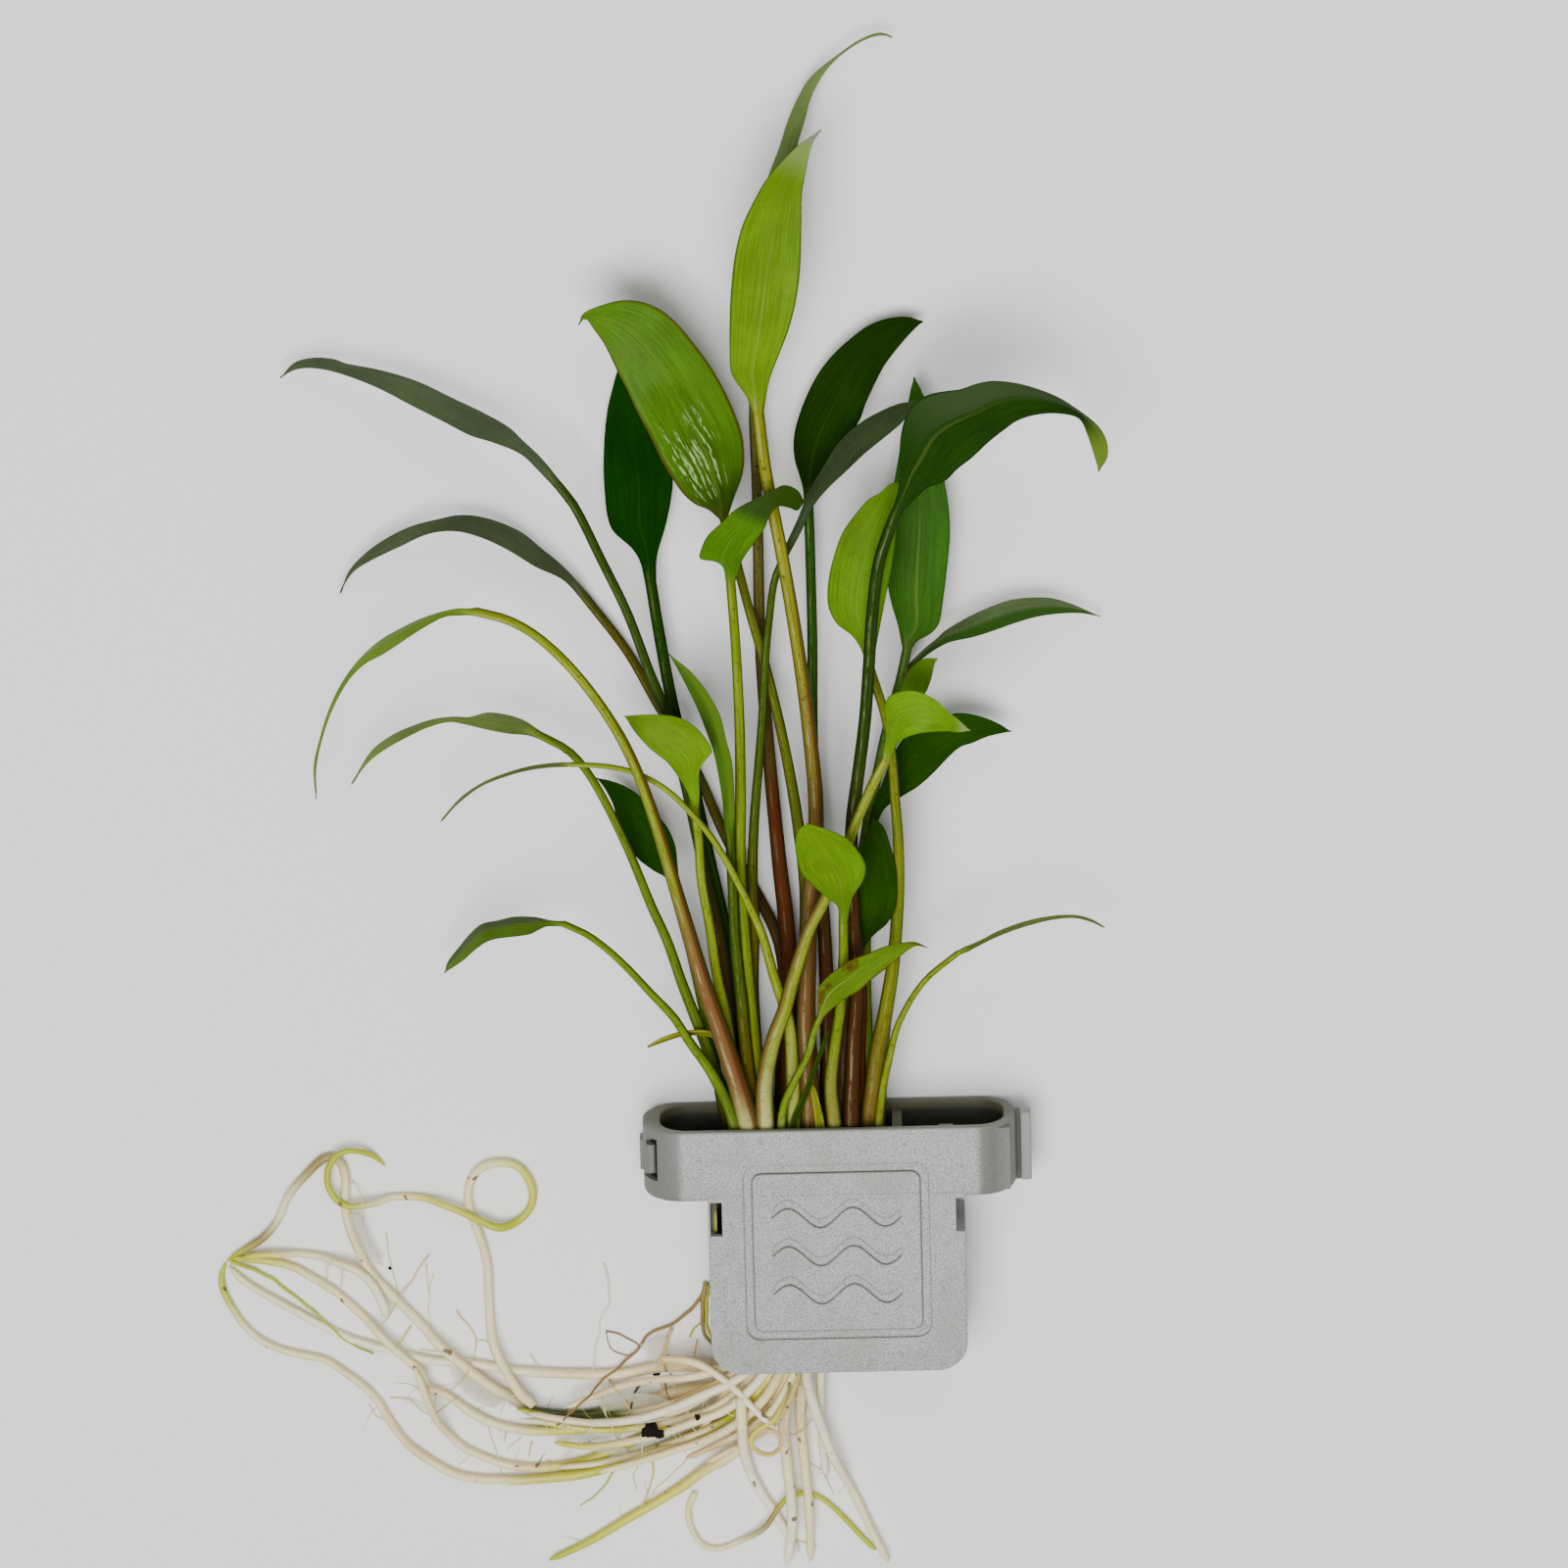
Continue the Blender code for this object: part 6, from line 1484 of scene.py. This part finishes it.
for thread_name, pixels, thread_width, colour in (
        ("hair_a", ((393, 1256), (400, 1292), (407, 1319)), 0.35, CREAM),
        ("hair_b", ((437, 1279), (421, 1303), (405, 1324), (385, 1350)), 0.4, TAN),
        ("hair_c", ((435, 1288), (438, 1319), (437, 1334), (441, 1351)), 0.35, CREAM),
        ("hair_d", ((443, 1297), (438, 1317)), 0.3, CREAM),
        ("hair_e", ((466, 1336), (481, 1355), (486, 1366), (482, 1387)), 0.35, TAN),
        ("hair_f", ((486, 1366), (494, 1366), (501, 1371)), 0.3, CREAM),
        ("hair_g", ((419, 1351), (412, 1361), (403, 1368)), 0.45, YELLOW),
        ("hair_h", ((349, 1282), (348, 1311)), 0.3, CREAM),
        ("hair_i", ((341, 1279), (333, 1292), (334, 1303)), 0.3, CREAM),
        ("hair_j", ((541, 1380), (550, 1395)), 0.35, CREAM),
        ("hair_k", ((398, 1425), (415, 1425), (438, 1433), (457, 1431)), 0.4, CREAM),
        ("hair_l", ((377, 1431), (383, 1442), (391, 1447)), 0.3, CREAM),
        ("hair_m", ((498, 1454), (507, 1484)), 0.35, CREAM),
        ("hair_n", ((517, 1456), (514, 1469)), 0.35, TAN),
        ("hair_o", ((533, 1465), (518, 1477)), 0.35, CREAM),
        ("hair_p", ((543, 1469), (539, 1486)), 0.4, TAN),
        ("hair_q", ((480, 1385), (472, 1402), (458, 1418)), 0.4, TAN),
        ("hair_r", ((429, 1376), (451, 1378)), 0.3, CREAM),
        ("hair_s", ((679, 1406), (685, 1419), (700, 1425)), 0.45, BROWN),
        ("hair_t", ((360, 1203), (370, 1216), (371, 1245)), 0.3, CREAM),
        ("hair_u", ((666, 1490), (664, 1514), (654, 1535)), 0.45, YELLOW),
        ("hair_v", ((626, 1500), (614, 1518), (593, 1535)), 0.45, LIME),
        ("hair_w", ((651, 1495), (647, 1505), (650, 1519)), 0.35, CREAM),
        ("hair_x", ((704, 1486), (685, 1503), (666, 1522)), 0.35, CREAM),
        ("hair_y", ((622, 1406), (641, 1421), (654, 1444)), 0.5, TAN),
        ("hair_z", ((612, 1419), (624, 1444), (633, 1469)), 0.5, CREAM),
        ("long_hair", ((616, 1287), (622, 1322), (613, 1347), (607, 1381), (605, 1398)), 0.5,
         WHITE),
        ("brown_thread", ((721, 1307), (713, 1326), (687, 1349), (662, 1359), (653, 1373),
                          (641, 1383), (626, 1395), (605, 1410), (578, 1434), (569, 1446)),
         0.75, BROWN),
        ("brown_loop", ((618, 1356), (635, 1361), (652, 1373), (639, 1381), (624, 1375),
                        (618, 1356)), 0.35, BROWN),
        ("tan_branch", ((686, 1354), (679, 1370), (677, 1381), (680, 1392)), 0.8, TAN),
        ("green_hook", ((721, 1307), (717, 1343), (719, 1360), (726, 1370)), 1.1, KHAKI),
        ("green_strand", ((723, 1309), (721, 1332), (722, 1352), (727, 1366)), 0.9, LIME),
        ("green_curl", ((704, 1362), (708, 1352), (721, 1346)), 0.5, LIME),
        ("green_branch", ((673, 1404), (654, 1410), (643, 1427), (641, 1436)), 0.6, MOSS),
        ("fine_a", ((674, 1404), (680, 1418), (694, 1424), (712, 1422)), 0.4, TAN),
        ("fine_b", ((684, 1400), (694, 1414), (708, 1418)), 0.4, TAN),
        ("fine_c", ((712, 1366), (708, 1378), (710, 1388)), 0.4, TAN),
        ("fine_d", ((786, 1422), (784, 1434), (776, 1446)), 0.5, BROWN),
        ("twig", ((800, 1447), (814, 1451), (829, 1446)), 0.45, CREAM),
        ("yellow_thread", ((236, 1284), (246, 1287), (270, 1298), (300, 1320), (327, 1341),
                           (352, 1362), (366, 1372), (381, 1380)), 0.75, LIME)):
    points = [seen(across_mm, along_mm, thread_width / 2)
              for across_mm, along_mm in from_photo(pixels)]
    line = smooth(points)
    count = max(8, round(distances(line)[-1] / THREAD_SPACE))
    places = shared_out(line, count)
    tree = search_tree(laid)
    radii = []
    for i, spot in enumerate(places):
        radius = mixed(thread_width / 2, thread_width / 4, i / (count - 1))
        radii.append(radius)
        wiggle = Vector((noise.noise(spot * 0.35), noise.noise(spot * 0.35 + MOUTH), 0.0))
        spot += wiggle * 0.35
        top = radius
        for _, index, apart in tree.find_range((spot.x, spot.y, 0.0), 2.0):
            other, other_radius = laid[index]
            if apart < other_radius + radius and other.z < 7:
                top = max(top, other.z + math.sqrt((other_radius + radius) ** 2 - apart ** 2))
        spot.z = top
    for _ in range(6):
        for i in range(1, count - 1):
            places[i].z = max(places[i].z, (places[i - 1].z + places[i + 1].z) / 2)
    strand = tube(f"{thread_name}_rootlet", places, radii, THREAD_SIDES)
    colour_root(strand, ((0, colour), (1, scaled(colour, 0.9))))
    strands.append(strand)

# Root hairs branch from the thick roots at random, thinner and shorter than the rootlets.
random.seed(11)
HAIR_COUNT = 110
HAIR_STEPS = 8
HAIR_SIDES = 5
thick_roots = [entry for entry in laid if entry[0].y < -28 and entry[1] > 0.5]
for number in range(HAIR_COUNT):
    start, _ = random.choice(thick_roots)
    bearing = random.uniform(0, 2 * math.pi)
    length = random.uniform(2.5, 9.0)
    spot = start.copy()
    places = []
    for i in range(HAIR_STEPS):
        places.append(spot.copy())
        bearing += random.uniform(-0.35, 0.35)
        spot = spot + Vector((math.cos(bearing), math.sin(bearing), 0.0)) * length / HAIR_STEPS
        spot.z = max(spot.z - length / HAIR_STEPS * 0.45, 0.16)
    thin = random.uniform(0.08, 0.15)
    radii = [mixed(thin, thin * 0.4, i / (HAIR_STEPS - 1)) for i in range(HAIR_STEPS)]
    hair = tube(f"root_hair_{number}", places, radii, HAIR_SIDES)
    colour = random.choice((CREAM, WHITE, TAN, KHAKI))
    colour_root(hair, ((0, colour), (1, colour)))
    strands.append(hair)
join_up(strands, "rootlets")
rootlets = bpy.context.object
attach(rootlets, "root")

# Films: shreds of pale root skin, as thin as paper and half see-through. They have come loose
# from the roots and cling between them.
film_skin = Finish("film_skin")
wisps = film_skin.cloud(film_skin.place(), 160.0, 4.0, 0.6)
film_skin.paint(base_color=film_skin.blend((0.56, 0.55, 0.40), (0.74, 0.72, 0.58), wisps),
                roughness=0.5, specular_ior_level=0.1,
                alpha=film_skin.ramp(wisps, 0.3, 0.7) * 0.35 + 0.2,
                normal=film_skin.relief(wisps, 0.6, 0.0003))
FILM_COLUMNS = 16
FILM_ROWS = 8
FILM_WALL = 0.12
films = []
for upper_edge, lower_edge, lift in (
        (((653, 1371), (668, 1364), (683, 1364)), ((668, 1392), (673, 1394), (677, 1391)), 2.6),
        (((608, 1426), (640, 1421), (672, 1423), (704, 1437)),
         ((616, 1440), (645, 1438), (672, 1437), (704, 1442)), 5.0),
        (((586, 1463), (606, 1470), (640, 1477)), ((594, 1476), (614, 1481), (640, 1483)), 3.4),
        (((468, 1383), (492, 1402), (520, 1426)), ((458, 1398), (478, 1424), (504, 1436)), 2.2),
        (((355, 1238), (364, 1262), (378, 1286)), ((366, 1236), (378, 1262), (392, 1290)), 2.6)):
    deselect()
    bpy.ops.mesh.primitive_grid_add(x_subdivisions=FILM_COLUMNS, y_subdivisions=FILM_ROWS,
                                    size=1.0)
    film = bpy.context.object
    edges = [shared_out(smooth([seen(x, y, lift) for x, y in from_photo(edge)]),
                        FILM_COLUMNS + 1)
             for edge in (upper_edge, lower_edge)]
    for index, corner in enumerate(film.data.vertices):
        row, column = divmod(index, FILM_COLUMNS + 1)
        place = edges[0][column].lerp(edges[1][column], row / FILM_ROWS)
        place.z += 0.7 * noise.noise(place * 0.35) - 0.5
        corner.co = place * MM
    wall = film.modifiers.new("wall", "SOLIDIFY")
    wall.thickness = FILM_WALL * MM
    bpy.ops.object.modifier_apply(modifier=wall.name)
    bpy.ops.object.mode_set(mode="EDIT")
    bpy.ops.mesh.select_all(action="SELECT")
    bpy.ops.mesh.normals_make_consistent(inside=False)
    bpy.ops.object.mode_set(mode="OBJECT")
    bpy.ops.object.shade_smooth()
    film.data.materials.append(film_skin.material)
    films.append(film)
join_up(films, "root_films")
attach(bpy.context.object, "root")

# Crumbs: rough soft bits of the dark medium that the plant was grown in. They lie on the roots
# that caught them.
crumb_skin = Finish("crumb_black")
lumps = crumb_skin.cloud(crumb_skin.place(), 900.0, 4.0)
crumb_skin.paint(base_color=crumb_skin.blend((0.002, 0.002, 0.001), (0.014, 0.011, 0.008), lumps),
                 roughness=0.75, specular_ior_level=0.1, normal=crumb_skin.relief(lumps, 0.8, 0.0004))
crumbs = []
for px, py, size, lift in ((665, 1457, 1.4, 1.2), (673, 1461, 0.8, 1.2), (670, 1400, 0.55, 0.6),
                           (712, 1444, 0.5, 0.6), (683, 1453, 0.4, 0.4), (398, 1292, 0.3, 0.3)):
    deselect()
    sight = from_photo(((px, py),))[0]
    place = seen(*sight, lift)
    for _ in range(3):
        top = lift
        for other, other_radius in laid:
            if (other.xy - place.xy).length < other_radius + size:
                top = max(top, other.z + other_radius * ROOT_PLUMP + size * 0.4)
        place = seen(*sight, top)
    bpy.ops.mesh.primitive_ico_sphere_add(subdivisions=4, radius=size * MM, location=place * MM)
    crumb = bpy.context.object
    bpy.ops.object.transform_apply(location=True, rotation=True, scale=True)
    for corner in crumb.data.vertices:
        reach = corner.co - place * MM
        bump = 1 + 0.6 * noise.fractal(corner.co / MM * 1.3 / size, 1.0, 2.0, 5)
        corner.co = place * MM + Vector((reach.x, reach.y, reach.z * 0.6)) * bump
    bpy.ops.object.shade_smooth()
    crumb.data.materials.append(crumb_skin.material)
    crumbs.append(crumb)
join_up(crumbs, "soil_crumbs")
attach(bpy.context.object, "root")
